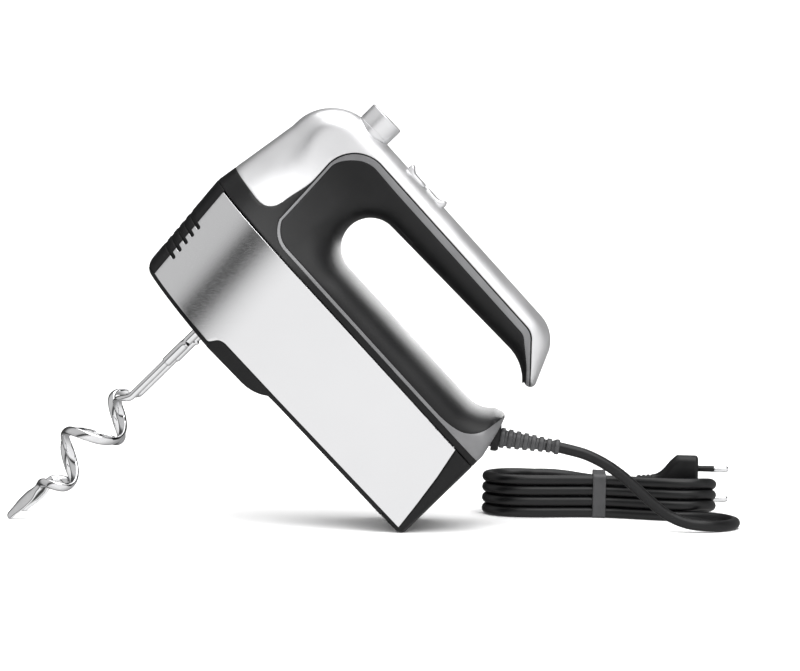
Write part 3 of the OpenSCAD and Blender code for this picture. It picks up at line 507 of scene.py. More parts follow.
def shell(obj, thick, edge):
    """Gives an open skin its wall, with the wall's outer edges rounded."""
    thick, edge = thick / 1000, edge / 1000
    bm = bmesh.new()
    bm.from_mesh(obj.data)
    bm.normal_update()
    n = len(bm.verts)
    co = np.array([v.co for v in bm.verts])
    no = np.zeros((n, 3))
    for f in bm.faces:
        for v in f.verts:
            no[v.index] += np.array(f.normal) * f.calc_area()
    no /= np.maximum(np.linalg.norm(no, axis=1), 1e-15)[:, None]
    inward = np.zeros((n, 3))
    count = np.zeros(n)
    rim = []
    for e in bm.edges:
        if len(e.link_faces) != 1:
            continue
        loop = e.link_loops[0]
        a, b = loop.vert, loop.link_loop_next.vert
        d = loop.face.normal.cross(b.co - a.co)
        d.normalize()
        rim.append((a.index, b.index))
        for v in (a, b):
            inward[v.index] += d
            count[v.index] += 1
    edge_verts = np.nonzero(count)[0]
    inward[edge_verts] -= no[edge_verts] * np.sum(inward[edge_verts] * no[edge_verts], 1)[:, None]
    size = np.linalg.norm(inward[edge_verts], axis=1)
    inward[edge_verts] /= np.maximum(size, 1e-9)[:, None]
    inward[edge_verts] *= np.minimum(2 / np.maximum(size, 1.0), 1.5)[:, None]
    inward[edge_verts] *= (count[edge_verts] == 2)[:, None]
    outer = co.copy()
    outer[edge_verts] += inward[edge_verts] * edge
    verts = [outer, co - no * thick]
    at = {0: {int(v): int(v) for v in edge_verts}}
    steps = (30, 60, 90)
    for k, deg in enumerate(steps, 1):
        t = math.radians(deg)
        ring = (co[edge_verts] + inward[edge_verts] * edge * (1 - math.sin(t))
                - no[edge_verts] * edge * (1 - math.cos(t)))
        at[k] = {int(v): sum(len(q) for q in verts) + i for i, v in enumerate(edge_verts)}
        verts.append(ring)
    at[len(steps) + 1] = {int(v): n + int(v) for v in edge_verts}
    faces = [[v.index for v in f.verts] for f in bm.faces]
    faces += [[n + v.index for v in f.verts][::-1] for f in bm.faces]
    for a, b in rim:
        for k in range(len(steps) + 1):
            faces.append([at[k][b], at[k][a], at[k + 1][a], at[k + 1][b]])
    bm.free()
    mesh = bpy.data.meshes.new(obj.name)
    mesh.from_pydata([tuple(v) for v in np.vstack(verts)], [], faces)
    mesh.validate()
    mesh.materials.append(obj.data.materials[0])
    obj.data = mesh
    return crease(obj, 60)


# ---------------------------------------------------------------- lines between the housing's pieces
GRIP_LINE = np.vstack([
    resample([(214, 61.2), (196, 61.6), (60, 66.2)], 2.0)[:-1],
    resample(arc(47.5, 84.2, 17.6, 268, 205, 10) + arc(49.3, 118.6, 21, 178, 92, 14)
             + arc(175, NOSE_Z + 1, 10.5, 87, 38, 8) + [(205, 108), (214, 96)], 2.0)])


def inner_line():
    """The soft grip's own edge. The trim outside it is narrow below and wide on the handle."""
    line = GRIP_LINE[(GRIP_LINE[:, 0] < 150) | (GRIP_LINE[:, 1] > 100)]
    tangent = np.gradient(line, axis=0)
    tangent /= np.linalg.norm(tangent, axis=1)[:, None]
    normal = np.stack([-tangent[:, 1], tangent[:, 0]], 1)
    x, z = line[:, 0], line[:, 1]
    width = 1.9 - 0.4 * step01(70, 78, z) * step01(70, 50, x) + 2.1 * step01(118, 134, z)
    moved = line - normal * width[:, None]
    start = [(219, 100), (208.5, 98.0), (206.2, 92.0), (203, 84.6), (201.3, 76.6), (198, 70.8),
             (193, 66.8), (186, 65.0), (178, 64.3), (165, 64.6)]
    return np.vstack([rounded(start, 3.0, 4), moved])


INNER_LINE = inner_line()


def painted_gap_line():
    """The collar's edge where it runs on round the grip's trim as a thin dark line of painted shade, standing for
    the shadow gap between the shell and the trim; the line widens towards the pillar's foot.
    """
    line = GRIP_LINE[(GRIP_LINE[:, 0] < 45) & (GRIP_LINE[:, 1] > 84) | (GRIP_LINE[:, 1] > 100)]
    tangent = np.gradient(line, axis=0)
    tangent /= np.linalg.norm(tangent, axis=1)[:, None]
    normal = np.stack([-tangent[:, 1], tangent[:, 0]], 1)
    width = 0.8 + 4.8 * step01(107, 82, line[:, 1]) * (line[:, 0] < 45)
    return line + normal * width[:, None]


# The collar's outline. Round the grip's trim it runs on as a thin strip of black plastic, which is painted shade
# standing for a shadow gap.
COLLAR_AND_PAINTED_GAP_LINE = np.vstack([[(-20, 50), (-20, 78.4), (13, 75.2)], arc(15.5, 85, 9.8, 272, 356, 14), painted_gap_line(),
                         [(216, 96), (230, 84), (230, 50)]])
FRONT_EDGE = 8.6
PANEL_LINE = np.vstack([
    rounded([(-4.0, 2.0), (53.5, BELLY + 2.5), (57, 3.6), (60.2, 4.9), (105, 4), (206.4, 2.6)], 1.6, 5),
    resample([(204, 20), (201, 39), (197.0, float(seam(197)) - 0.15)], 4),
    resample([(150, float(seam(150)) - 0.15), (-10.0, float(seam(0)) - 0.75)], 4)])
FRONT_LINE = np.array([(-40, 1.4), (FRONT_EDGE + front_x(1.4), 1.4), (FRONT_EDGE + front_x(66), 66)])
FRONT_REGION = np.vstack([FRONT_LINE, [(-40, 66)]])
CAP_REGION = np.array([(194.2, -10), (230, -10), (230, 70), (197.3, 70), (197.3, float(seam(197)) - 0.1),
                       (201.3, 39), (204.3, 20), (206.7, 2.5), (194.2, 2.5)])

# Five slots that slant down to the rear, round the front and into the panels' edges.
SLOTS = []
for i in range(5):
    z = 16.5 + 5.6 * i
    at = np.array([12.2 + front_x(z), z])
    f = np.array([-math.cos(math.radians(6)), math.sin(math.radians(6))])
    n = np.array([-f[1], f[0]]) * -1
    c = at + f * 1.15
    cap = [c + 1.15 * (math.cos(t) * n - math.sin(t) * f) for t in np.linspace(0, math.pi, 9)]
    SLOTS.append(np.array([c + f * 22 + 1.15 * n] + cap + [c + f * 22 - 1.15 * n]))


def clipped(line, domain):
    """The runs of a line that lie inside the domain, each with one point past its ends."""
    line = resample(line, 1.4)
    runs, now = [], []
    for i, ok in enumerate(inside(domain, line)):
        if ok:
            if not now and i:
                now.append(line[i - 1])
            now.append(line[i])
        elif now:
            runs.append(np.array(now + [line[i]]))
            now = []
    if len(now) > 1:
        runs.append(np.array(now))
    return runs


def build_upper():
    lines = [r for line in (GRIP_LINE, INNER_LINE, COLLAR_AND_PAINTED_GAP_LINE) for r in clipped(line, UPPER)]
    verts, tris = triangulate(UPPER, lines, [OUT_LINE, OPEN_LINE], 2.3)
    mid = verts[tris].mean(1)
    grip = inside(np.vstack([GRIP_LINE, [(214, 96)]]), mid)
    soft = inside(INNER_LINE, mid) & grip
    collar = inside(COLLAR_AND_PAINTED_GAP_LINE, mid) & ~grip
    top = ~grip & ~collar
    trim = grip & ~soft
    made = {}
    for name, region, look, thick, edge in (
            ("grip", soft, "soft", 2.0, 0.45), ("trim_band", trim, "trim", 1.6, 0.22),
            ("collar", collar, "black", 2.0, 0.35), ("shell_top", top, "satin", 1.8, 0.35)):
        obj = skin_object(name, verts, tris[region], upper_height, look, bridge=REAR_LINE[::-1])
        made[name] = shell(obj, thick, edge)
    return made


def build_lower():
    lines = [r for line in (PANEL_LINE, FRONT_LINE, CAP_REGION) for r in clipped(line, LOWER)]
    for s in SLOTS:
        lines += clipped(s, LOWER)
    verts, tris = triangulate(LOWER, lines, [LOWER_FRONT], 2.3, 0.4)
    mid = verts[tris].mean(1)
    open_ = np.zeros(len(tris), bool)
    for s in SLOTS:
        open_ |= inside(s, mid)
    front = inside(FRONT_REGION, mid)
    panel = inside(PANEL_LINE, mid) & ~front
    cap = inside(CAP_REGION, mid) & ~panel & ~front
    made = {}
    for name, side in (("panel_near", -1), ("panel_far", 1)):
        skin = skin_object(name, verts, tris[panel & ~open_], lower_height, "steel", (side,))
        made[name] = shell(skin, 1.2, 0.3)
    made["front"] = shell(skin_object("front", verts, tris[front & ~open_], lower_height, "black"), 1.6, 0.3)
    made["cap"] = shell(skin_object("cap", verts, tris[cap], lower_height, "black", bridge=LOWER_REAR),
                        2.2, 0.5)
    lining = inside(np.array([(-40, 8), (24 + front_x(8), 8), (24 + front_x(52), 52), (-40, 52)]), mid)
    made["lining"] = skin_object("front_lining", verts, tris[lining & (behind(mid) > 0.5)],
                                 lower_height, "black", inset=2.6)
    return made


upper = build_upper()
lower = build_lower()
place(upper["grip"], "housing", "soft_grip", "saddle_grip", "handle_grip")
place(upper["trim_band"], "housing", "grey_trim", "grip_trim")
place(upper["collar"], "housing", "black_plastic", "collar_cover")
place(upper["shell_top"], "housing", "satin_silver", "top_shell")
place(lower["panel_near"], "housing", "side_steel", "side_panel_right")
place(lower["panel_far"], "housing", "side_steel", "side_panel_left")
place(lower["front"], "housing", "black_plastic", "front_grille")
place(lower["lining"], "housing", "black_plastic")
place(lower["cap"], "housing", "black_plastic", "rear_cap")


# ---------------------------------------------------------------- turned and swept pieces
def lathe(name, profile, origin, axis, look, sides=96):
    """A closed turned piece: profile is (radius, height) in millimetres, from the axis to the axis."""
    a = Vector(axis).normalized()
    u = (Vector(AY) - a * Vector(AY).dot(a)).normalized()
    v = a.cross(u)
    o = Vector(origin)
    verts, faces, rings = [], [], []
    for r, h in profile:
        if r < 1e-6:
            rings.append([len(verts)])
            verts.append(o + a * h / 1000)
        else:
            rings.append(list(range(len(verts), len(verts) + sides)))
            for k in range(sides):
                t = 2 * math.pi * k / sides
                verts.append(o + a * h / 1000 + (u * math.cos(t) + v * math.sin(t)) * r / 1000)
    for p, q in zip(rings[:-1], rings[1:]):
        for k in range(sides):
            f = [p[k % len(p)], p[(k + 1) % len(p)], q[(k + 1) % len(q)], q[k % len(q)]]
            f = list(dict.fromkeys(f))
            if len(f) > 2:
                faces.append(f)
    return crease(clean(object_of(name, verts, faces, look)), 40)


def sweep(name, mid, sizes, look, sides, ways):
    """A tube along points in the row frame (metres). Each ring has its own half sizes and direction."""
    mid = np.asarray(mid, float)
    t = np.gradient(mid, axis=0)
    t /= np.linalg.norm(t, axis=1)[:, None]
    verts, faces = [], []
    n = len(mid)
    for i in range(n):
        side = ways[i] - (ways[i] @ t[i]) * t[i]
        side /= np.linalg.norm(side)
        up = np.cross(t[i], side)
        for k in range(sides):
            a = 2 * math.pi * k / sides
            verts.append(mid[i] + sizes[i][0] * math.cos(a) * side + sizes[i][1] * math.sin(a) * up)
    for i in range(n - 1):
        for k in range(sides):
            a, b = i * sides + k, i * sides + (k + 1) % sides
            faces.append([a, b, b + sides, a + sides])
    faces.append(list(range(sides))[::-1])
    faces.append([(n - 1) * sides + k for k in range(sides)])
    return crease(clean(object_of(name, verts, faces, look)), 50)


def fillet(profile, radius, n=5):
    """The profile with rounded corners."""
    return [tuple(q) for q in rounded(profile, radius, n)]


def boolean(obj, cutter):
    modifier(obj, "BOOLEAN", operation="DIFFERENCE", solver="EXACT", object=cutter)
    settle(obj)
    bpy.data.objects.remove(cutter)
    return obj


# ---------------------------------------------------------------- controls on the handle
DIAL_X, EJECT_X, TURBO_X = 31.5, 68.5, 84.8


def block(name, x0, x1, y, z0, top, look):
    """A button: a rounded plan outline, walls up to a rounded rim and a top that follows top(x, y)."""
    bm = bmesh.new()
    n = 64
    cx, hx = (x0 + x1) / 2, (x1 - x0) / 2

    def outline(inset):
        out = []
        for k in range(n):
            t = 2 * math.pi * (k + 0.5) / n
            c, s = math.cos(t), math.sin(t)
            e = 5.0
            q = (abs(c) ** e + abs(s) ** e) ** (-1 / e)
            out.append((cx + (hx - inset) * c * q, (y - inset) * s * q))
        return out

    rings = []
    for inset, drop in ((0, None), (0, 1.3), (0.08, 0.75), (0.34, 0.34), (0.75, 0.08),
                        (1.3, 0), (2.4, 0), (3.8, 0), (5.2, 0)):
        ring = []
        for px, py in outline(inset):
            z = z0 if drop is None else top(px, py) - drop
            ring.append(bm.verts.new(row([(px, py, z)])[0]))
        rings.append(ring)
    for a, b in zip(rings[:-1], rings[1:]):
        for k in range(n):
            bm.faces.new((a[k], a[(k + 1) % n], b[(k + 1) % n], b[k]))
    bm.faces.new(rings[0][::-1])
    centre = bm.verts.new(row([(cx, 0, top(cx, 0))])[0])
    for k in range(n):
        bm.faces.new((rings[-1][k], rings[-1][(k + 1) % n], centre))
    bmesh.ops.recalc_face_normals(bm, faces=bm.faces)
    mesh = bpy.data.meshes.new(name)
    bm.to_mesh(mesh)
    bm.free()
    mesh.materials.append(MAT[look])
    obj = bpy.data.objects.new(name, mesh)
    bpy.context.scene.collection.objects.link(obj)
    return crease(obj, 50)


def shell_z(x):
    """The height of the handle's top in the middle."""
    return np.interp(x, [19.9, 45, 175], [150.0, 151.3 - 0.4, 145.0])


def eject_top(x, y):
    lip = 2.6 * math.exp(-((x - 62.6) / 2.3) ** 2) + 0.55
    return float(shell_z(x)) + lip - 0.010 * y * y


def turbo_top(x, y):
    lip = 2.4 * math.exp(-((x - 90.6) / 2.3) ** 2) + 0.55
    return float(shell_z(x)) + lip - 0.010 * y * y


def cutters():
    made = [lathe("cut_dial", [(0, -20), (11.65, -20), (11.65, 30), (0, 30)],
                  row([(DIAL_X, 0, TOP)])[0], AZ, "black", 64)]
    for x0, x1 in ((EJECT_X - 7.7, EJECT_X + 7.7), (TURBO_X - 7.7, TURBO_X + 7.7)):
        made.append(block("cut_button", x0, x1, 7.3, TOP - 14, lambda x, y: TOP + 20, "black"))
    return made


for cutter in cutters():
    boolean(upper["shell_top"], cutter)
crease(upper["shell_top"], 42)

dial = lathe("dial_knob", [(0, 0)] + fillet([(9.0, 0), (11.2, 0), (11.2, 3.6)], 0.3)
             + [(11.2, 3.7), (11.05, 3.85), (11.05, 4.15), (11.2, 4.3)]
             + fillet([(11.2, 4.4), (11.25, 14.5), (9.4, 14.5)], 1.5, 8)
             + [(8.4, 14.44), (6.5, 14.22), (3.2, 14.06), (0, 14.0)],
             row([(DIAL_X, 0, TOP - 4)])[0], AZ, "satin", 128)
place(dial, "dial", "satin_silver", "speed_dial")
mark = block("dial_mark", DIAL_X - 10.4, DIAL_X - 5.0, 0.55, TOP + 8.5,
             lambda x, y: TOP + 10.56 - 0.02 * abs(y), "black")
place(mark, "dial", "black_plastic")

eject = block("eject_cap", EJECT_X - 7.4, EJECT_X + 7.4, 7.0, TOP - 7, eject_top, "satin")
place(eject, "eject", "satin_silver", "eject_button")
turbo = block("turbo_cap", TURBO_X - 7.4, TURBO_X + 7.4, 7.0, TOP - 7, turbo_top, "satin")
place(turbo, "turbo", "satin_silver", "turbo_button")


# ---------------------------------------------------------------- dough hooks
TIP_R, NECK_R, CURL_R, CURL_START, CURL_END, CURL_TURNS = 2.7, 2.2, 12.5, -58.0, -136.0, 1.95
TIP_Z = -161 + TIP_R
CURL_FROM = {1: -270.0, -1: -207.0}


def ease(t):
    return (1 - np.cos(np.pi * np.clip(t, 0, 1))) / 2


def hook(name, side):
    """A dough hook: a round shank with a crimp, a curl of flat strip and a blade."""
    z = np.concatenate([np.linspace(40.8, -11, 24), np.linspace(-11.4, -34, 60), np.linspace(-35, -52, 12),
                        np.linspace(-52.6, -145, 230), np.linspace(-145.6, TIP_Z, 30)])
    t = np.clip((z - CURL_START) / (CURL_END - CURL_START), 0, 1)
    r = CURL_R * ease(t / 0.2) * ease((1 - t) / 0.18)
    a = np.radians(CURL_FROM[side] + 360 * CURL_TURNS * t)
    mid = np.stack([44 + r * np.cos(a), side * (20 + r * np.sin(a)), z], 1)
    way = np.stack([np.cos(a), side * np.sin(a), 0 * a], 1)
    c, b, e = ease((CURL_START - z) / 10), ease((CURL_END - z) / 8), ease((z - TIP_Z + 1) / 12)
    neck = 2.7 + (NECK_R - 2.7) * ease((-29.5 - z) / 1.6)
    thick = neck - 0.6 * c - 0.4 * b
    wide = neck + 0.5 * c + (0.2 + 1.5 * e) * b
    crimp = np.exp(-((z + 14.0) / 1.1) ** 2)
    sleeve = ease((-12.5 - z) / 1.2) * ease((z + 30.5) / 1.2)
    wide = wide + 0.9 * crimp + 0.25 * sleeve
    thick = thick - 0.5 * crimp + 0.20 * sleeve
    tip = TIP_Z - np.array([0.6, 1.2, 1.7, 2.1, 2.35, 2.5])
    shrink = np.sqrt(np.clip(1 - ((TIP_Z - tip) / 2.55) ** 2, 0.01, 1))
    mid = np.vstack([mid, np.stack([np.full(6, 44.0), np.full(6, side * 20.0), tip], 1)])
    way = np.vstack([way, np.repeat(way[-1:], 6, 0)])
    thick = np.concatenate([thick, thick[-1] * shrink])
    wide = np.concatenate([wide, wide[-1] * shrink])
    ways = way[:, :1] * AX + way[:, 1:2] * AY
    return sweep(name, row(mid), np.stack([thick, wide], 1) / 1000, "chrome", 28, ways)


place(hook("hook_far", 1), "left_hook", "chrome_steel", "dough_hook_left")
place(hook("hook_near", -1), "right_hook", "chrome_steel", "dough_hook_right")


# ---------------------------------------------------------------- mains lead, its hank and its plug
LEAD_D = 6.5
LEAD_Z = LEAD_D / 2 + 0.1
HANK_X, HANK_Y, HANK_HALF, FOLD_R, WAIST, TURNS = 190.0, 75.0, 49.0, 19.5, 11.0, 3
LEAD_ROUTE = [(127.5, 0, 53.6), (138, 0, 52.1), (149, 0, 50.55), (160, 0, 49), (168, 0, 47.5),
              (180, 0, 44.5), (191, 0, 39.5), (201, 0, 33), (210, 0, 25.5),
              (219, 0, 17.5), (229, 0, 10), (241, 0.5, 5.2), (255, 4, LEAD_Z + 0.3),
              (265, 13, LEAD_Z), (270, 26, LEAD_Z), (268, 38, LEAD_Z), (261, 48, LEAD_Z), (250, 54, LEAD_Z),
              (238, 55.8, LEAD_Z)]
TAIL_ROUTE = [(152, 94.6, 22.9), (161, 95, 22.8), (170, 96.4, 22), (180, 99.2, 20.4), (191, 103, 18.8),
              (202, 106, 18), (214, 107, 18), (220, 107, 18)]


def smooth(points):
    """A smooth line through the points, with five steps from each to the next."""
    steps = 5
    p = np.asarray(points, float)
    out = []
    for i in range(len(p) - 1):
        a, b, c, d = p[max(i - 1, 0)], p[i], p[i + 1], p[min(i + 2, len(p) - 1)]
        for k in range(steps):
            t = k / steps
            out.append(0.5 * (2 * b + (c - a) * t + (2 * a - 5 * b + 4 * c - d) * t ** 2
                              + (3 * b - a - 3 * c + d) * t ** 3))
    return out + [p[-1]]


def run(x, side, level):
    half = WAIST + (FOLD_R - WAIST) * (1 - math.cos(math.pi * abs(x) / HANK_HALF)) / 2
    return (HANK_X + x, HANK_Y + side * half, LEAD_Z + LEAD_D * level)


def hank():
    pts = []
    xs = np.linspace(HANK_HALF, -HANK_HALF, 33)
    for level in range(TURNS + 1):
        pts += [run(x, -1, level) for x in xs[1 if level == 0 else 0:-1]]
        for a in np.linspace(270, 90, 22)[:-1]:
            t = math.radians(a)
            pts.append((HANK_X - HANK_HALF + FOLD_R * math.cos(t), HANK_Y + FOLD_R * math.sin(t),
                        LEAD_Z + LEAD_D * level))
        if level == TURNS:
            pts += [run(x, 1, level) for x in xs[::-1][:4]]
            break
        pts += [run(x, 1, level) for x in xs[::-1][:-1]]
        for a in np.linspace(90, -90, 22)[:-1]:
            t = math.radians(a)
            up = float(ease((90 - a) / 145))
            pts.append((HANK_X + HANK_HALF + FOLD_R * math.cos(t), HANK_Y + FOLD_R * math.sin(t),
                        LEAD_Z + LEAD_D * (level + up)))
    return pts


lead_points = smooth(LEAD_ROUTE)[:-2] + hank() + smooth(TAIL_ROUTE)[1:]
lead_points = np.array(lead_points) / 1000

curve = bpy.data.curves.new("mains_lead_run", "CURVE")
curve.dimensions = "3D"
curve.bevel_depth = LEAD_D / 2000
curve.bevel_resolution = 6
curve.use_fill_caps = True
spline = curve.splines.new("POLY")
spline.points.add(len(lead_points) - 1)
for p, q in zip(spline.points, lead_points):
    p.co = (*q, 1)
curve.materials.append(MAT["lead"])
lead = bpy.data.objects.new("lead_run", curve)
bpy.context.scene.collection.objects.link(lead)
place(lead, "housing", "lead_sheath", "mains_lead", "lead_hank", "lead_tail")

# The strain relief: a tapered sleeve with ribs, in a collar where it leaves the housing.
GLAND = row([(208, 0, 75)])[0]
GLAND_TILT = math.radians(90) - (LEAN - math.radians(8))
GLAND_AXIS = math.sin(GLAND_TILT) * AX + math.cos(GLAND_TILT) * AZ
profile = [(0, -6), (6.1, -6), (6.1, 3.6), (5.4, 4.0)]
for i in range(7):
    h, r = 4.6 + i * 4.6, 6.0 - 0.30 * i
    profile += [(r - 1.1, h), (r, h + 0.25), (r, h + 2.7), (r - 1.15, h + 2.95)]
profile += [(4.1, 37.2), (4.5, 37.6), (4.5, 39.2), (4.1, 39.8), (3.3, 40), (0, 40)]
relief = lathe("relief_sleeve", fillet(profile, 0.35, 3), GLAND, GLAND_AXIS, "relief", 64)
place(relief, "housing", "relief_grey", "strain_relief")
collar = lathe("relief_collar",
               [(0, 0)] + fillet([(6.4, 0), (8.4, 0), (8.4, 3.2), (7.4, 4.6), (6.3, 4.6), (6.3, 2)], 0.6, 4)
               + [(0, 2)],
               GLAND, GLAND_AXIS, "black", 64)
place(collar, "housing", "black_plastic")


def band(name):
    """The tie round the hank's waist."""
    y0, y1, z0, z1, r = HANK_Y - 15.2, HANK_Y + 15.2, 0.12, 27.1, 3.2
    path = []
    for (cy, cz, a0) in ((y1 - r, z1 - r, 0), (y0 + r, z1 - r, 90),
                         (y0 + r, z0 + r, 180), (y1 - r, z0 + r, 270)):
        for a in np.radians(np.linspace(a0, a0 + 90, 8)):
            path.append((cy + r * math.cos(a), cz + r * math.sin(a)))
    path = np.array(path + path[:1])
    path = resample(path, 1.4)[:-1]
    sag = np.where(path[:, 1] > 20, 1.5 * np.exp(-((path[:, 0] - HANK_Y) / 6.0) ** 2), 0)
    path[:, 1] -= sag
    t = np.roll(path, -1, 0) - np.roll(path, 1, 0)
    t /= np.linalg.norm(t, axis=1)[:, None]
    out = np.stack([t[:, 1], -t[:, 0]], 1)
    section = [(-4, -0.45), (-3.75, 0.0), (-3.3, 0.12), (-1.2, 0.0), (1.2, 0.0), (3.3, 0.12),
               (3.75, 0.0), (4, -0.45), (3.6, -0.85), (-3.6, -0.85)]
    verts, faces, n, m = [], [], len(path), len(section)
    for q, o in zip(path, out):
        for x, d in section:
            verts.append((HANK_X + x, q[0] + o[0] * d, max(q[1] + o[1] * d, 0.05)))
    for i in range(n):
        for k in range(m):
            faces.append([i * m + k, i * m + (k + 1) % m,
                          ((i + 1) % n) * m + (k + 1) % m, ((i + 1) % n) * m + k])
    return crease(clean(object_of(name, np.array(verts) / 1000, faces, "relief")), 40)


tie = place(band("tie_band"), "housing", "relief_grey", "hank_tie")

PLUG = np.array([214.0, 107.0, 18.0])


def plug_shell():
    """The flat plug: rounded sections from the ribbed neck to the flat front."""
    xs = [0, 0.4, 1.0, 2.2, 2.6, 3.4, 3.8, 5.0, 5.4, 6.2, 6.6, 7.8, 8.2, 9.0, 9.4, 10.6, 11.4,
          *range(13, 36, 2), 36.2, 37.0, 37.6, 38.0]
    verts, faces, m = [], [], 56
    for x in xs:
        neck = 4.3 + 0.9 * x / 11
        groove = 0.55 if x in (2.6, 3.4, 5.4, 6.2, 8.2, 9.0) else 0.0
        wide = float(np.interp(x, [0, 11, 14, 17, 21, 25, 29, 38], [0, 0, 0.9, 3.4, 7.9, 11.2, 12.4, 12.4]))
        hz = min(neck - groove + wide, 17.4)
        hy = min(neck - groove + 0.28 * max(0, x - 11), 6.75) - 0.5 * math.exp(-((x - 26) / 5.0) ** 2)
        e = 2.0 + 2.2 * float(ease((x - 12) / 12))
        end = max(0.0, x - 36.2) / 1.8
        trim = 1.5 * (1 - math.sqrt(max(0.0, 1 - end ** 2)))
        first = max(0.0, 0.9 - x) / 0.9
        trim += 1.0 * (1 - math.sqrt(max(0.0, 1 - first ** 2)))
        for k in range(m):
            t = 2 * math.pi * (k + 0.5) / m
            c, s = math.cos(t), math.sin(t)
            q = (abs(c) ** e + abs(s) ** e) ** (-1 / e)
            verts.append(PLUG + (x, (hy - trim) * c * q, (hz - trim) * s * q))
    for i in range(len(xs) - 1):
        for k in range(m):
            a, b = i * m + k, i * m + (k + 1) % m
            faces.append([a, b, b + m, a + m])
    faces.append(list(range(m))[::-1])
    faces.append([(len(xs) - 1) * m + k for k in range(m)])
    return crease(clean(object_of("plug_moulding", np.array(verts) / 1000, faces, "black")), 38)


plug = place(plug_shell(), "housing", "black_plastic", "plug_body")
pins = []
for end, label in ((1, "upper"), (-1, "lower")):
    base = (PLUG + (38, 0, 9.3 * end)) / 1000
    sleeve = lathe("pin_sleeve_" + label, [(0, -1), (1.9, -1), (1.9, 9.6), (1.75, 10.0), (0, 10.0)],
                   base, (1, 0, 0), "black", 40)
    tip = lathe("pin_tip_" + label,
                [(0, 9.9)] + fillet([(1.75, 9.9), (2.0, 10.1), (2.0, 17.5), (1.2, 19.0)], 0.6, 4)
                + [(0.7, 19.0), (0, 19.0)],
                base, (1, 0, 0), "chrome", 40)
    place(sleeve, "housing", "black_plastic")
    pins += [place(tip, "housing", "chrome_steel", *(["plug_pins"] if end > 0 else [])), sleeve]


# ---------------------------------------------------------------- CAD nodes that stay
slot_of = {p["node"]: p["material_slot"] for p in frame["record"]["subparts"]}
for node, obj in frame["nodes"].items():
    obj.data.materials.clear()
    obj.data.materials.append(MAT[SLOT_LOOK[slot_of[node]]])
tray = frame["nodes"]["base_tray"]
modifier(tray, "WELD", merge_threshold=1e-5)
modifier(tray, "BEVEL", width=0.0012, segments=3, limit_method="ANGLE",
         angle_limit=math.radians(40), harden_normals=False)


# ---------------------------------------------------------------- stage, world and lights
def stage():
    """The pale floor, curving up into a backdrop well behind the mixer."""
    bm = bmesh.new()
    cove = [(3 + math.sin(t), 1 - math.cos(t)) for t in np.linspace(0.1, math.pi / 2, 12)]
    prof = [(-6.0, 0.0), (3.0, 0.0)] + cove + [(4.0, 5.0)]
    rows = [[bm.verts.new((x, y, z)) for y, z in prof] for x in (-7.0, 7.0)]
    for k in range(len(prof) - 1):
        f = bm.faces.new((rows[0][k], rows[1][k], rows[1][k + 1], rows[0][k + 1]))
        f.smooth = True
    mesh = bpy.data.meshes.new("stage")
    bm.to_mesh(mesh)
    bm.free()
    n = Nodes("pale_floor")
    n.tint(n.noise(n.mapped((1, 1, 1)), 6.0), (0.90, 0.90, 0.90), (0.93, 0.93, 0.93))
    n.set(Roughness=0.9)
    mesh.materials.append(n.mat)
    obj = bpy.data.objects.new("stage", mesh)
    obj.visible_glossy = False
    bpy.context.scene.collection.objects.link(obj)
    return obj


floor = stage()


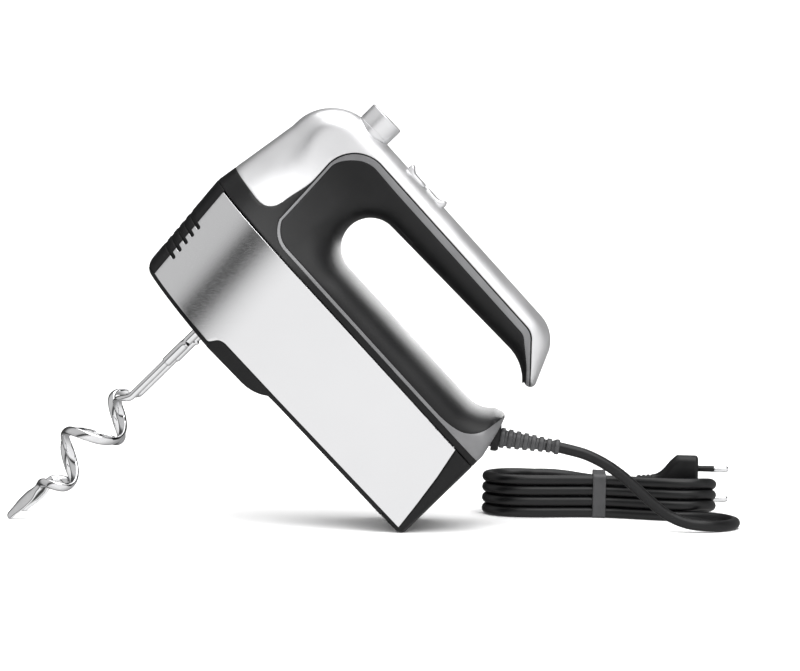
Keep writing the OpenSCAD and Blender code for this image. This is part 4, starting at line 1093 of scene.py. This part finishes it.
def make_world():
    """Bright in front, a dark strip and a soft box to the upper left, darker behind, grey above."""
    world = bpy.data.worlds.new("studio")
    bpy.context.scene.world = world
    world.use_nodes = True
    tree = world.node_tree
    back = tree.nodes["Background"]
    coord = tree.nodes.new("ShaderNodeTexCoord")

    def dot(v):
        node = tree.nodes.new("ShaderNodeVectorMath")
        node.operation = "DOT_PRODUCT"
        node.inputs[1].default_value = tuple(v)
        tree.links.new(coord.outputs["Generated"], node.inputs[0])
        return node.outputs["Value"]

    def maths(op, a, b):
        node = tree.nodes.new("ShaderNodeMath")
        node.operation = op
        for i, v in enumerate((a, b)):
            if isinstance(v, (int, float)):
                node.inputs[i].default_value = v
            else:
                tree.links.new(v, node.inputs[i])
        return node.outputs[0]

    def ramp(value, stops):
        node = tree.nodes.new("ShaderNodeValToRGB")
        e = node.color_ramp.elements
        while len(e) < len(stops):
            e.new(0.5)
        for item, (pos, v) in zip(e, stops):
            item.position = pos
            item.color = (v, v, v, 1)
        tree.links.new(value, node.inputs["Fac"])
        return node.outputs["Color"]

    turn = maths("ARCTAN2", dot(-AX), dot(-AY))
    share = maths("ADD", maths("DIVIDE", turn, 2 * math.pi), 0.5)

    def deg(d):
        return d / 360 + 0.5

    round_ = ramp(share, [(0.0, 0.22), (deg(-120), 0.40), (deg(-60), 0.95), (deg(3), 1.05), (deg(12), 0.86),
                          (deg(18), 0.40), (deg(23), 0.06), (deg(33), 0.05), (deg(39), 0.45), (deg(48), 0.60),
                          (deg(100), 0.60), (deg(124), 0.08), (deg(150), 0.05), (deg(179), 0.20)])
    up = maths("ADD", maths("MULTIPLY", dot(AZ), 0.5), 0.5)
    above = ramp(up, [(0.0, 0.75), (0.25, 1.0), (0.86, 1.0), (0.95, 0.70), (1.0, 0.40)])
    mix = tree.nodes.new("ShaderNodeMix")
    mix.data_type = "RGBA"
    mix.blend_type = "MULTIPLY"
    mix.inputs["Factor"].default_value = 1.0
    tree.links.new(round_, mix.inputs["A"])
    tree.links.new(above, mix.inputs["B"])
    tree.links.new(mix.outputs["Result"], back.inputs["Color"])
    back.inputs["Strength"].default_value = 1.0


make_world()


def area(name, at, look_at, size, power, receivers=None):
    data = bpy.data.lights.new(name, "AREA")
    data.shape = "RECTANGLE"
    data.size, data.size_y = size
    data.energy = power
    obj = bpy.data.objects.new(name, data)
    obj.location = at
    obj.visible_camera = False
    obj.rotation_mode = "QUATERNION"
    obj.rotation_quaternion = (Vector(look_at) - Vector(at)).to_track_quat("-Z", "Y")
    bpy.context.scene.collection.objects.link(obj)
    if receivers:
        group = bpy.data.collections.new(name + "_on")
        for r in receivers:
            group.objects.link(r)
        obj.light_linking.receiver_collection = group
    return obj


area("key", (0.5, -0.9, 1.5), (0.07, 0, 0.1), (1.4, 1.0), 14)
area("top", (0.3, 0.3, 1.9), (0.07, 0.2, 0), (2.2, 1.8), 26)
area("rim", (0.40, 0.93, 0.50), (0.06, 0, 0.12), (0.9, 0.9), 12, [upper["grip"]])

# An even wash over the floor and the backdrop alone, so that both stay white far from the mixer.
wash_data = bpy.data.lights.new("wash", "SUN")
wash_data.energy, wash_data.angle = 2.6, math.radians(70)
wash = bpy.data.objects.new("wash", wash_data)
wash.rotation_mode = "QUATERNION"
wash.rotation_quaternion = Vector((0.1, 0.6, -0.79)).to_track_quat("-Z", "Y")
bpy.context.scene.collection.objects.link(wash)
washed = bpy.data.collections.new("wash_on")
washed.objects.link(floor)
wash.light_linking.receiver_collection = washed

bpy.context.scene.view_settings.view_transform = "Standard"
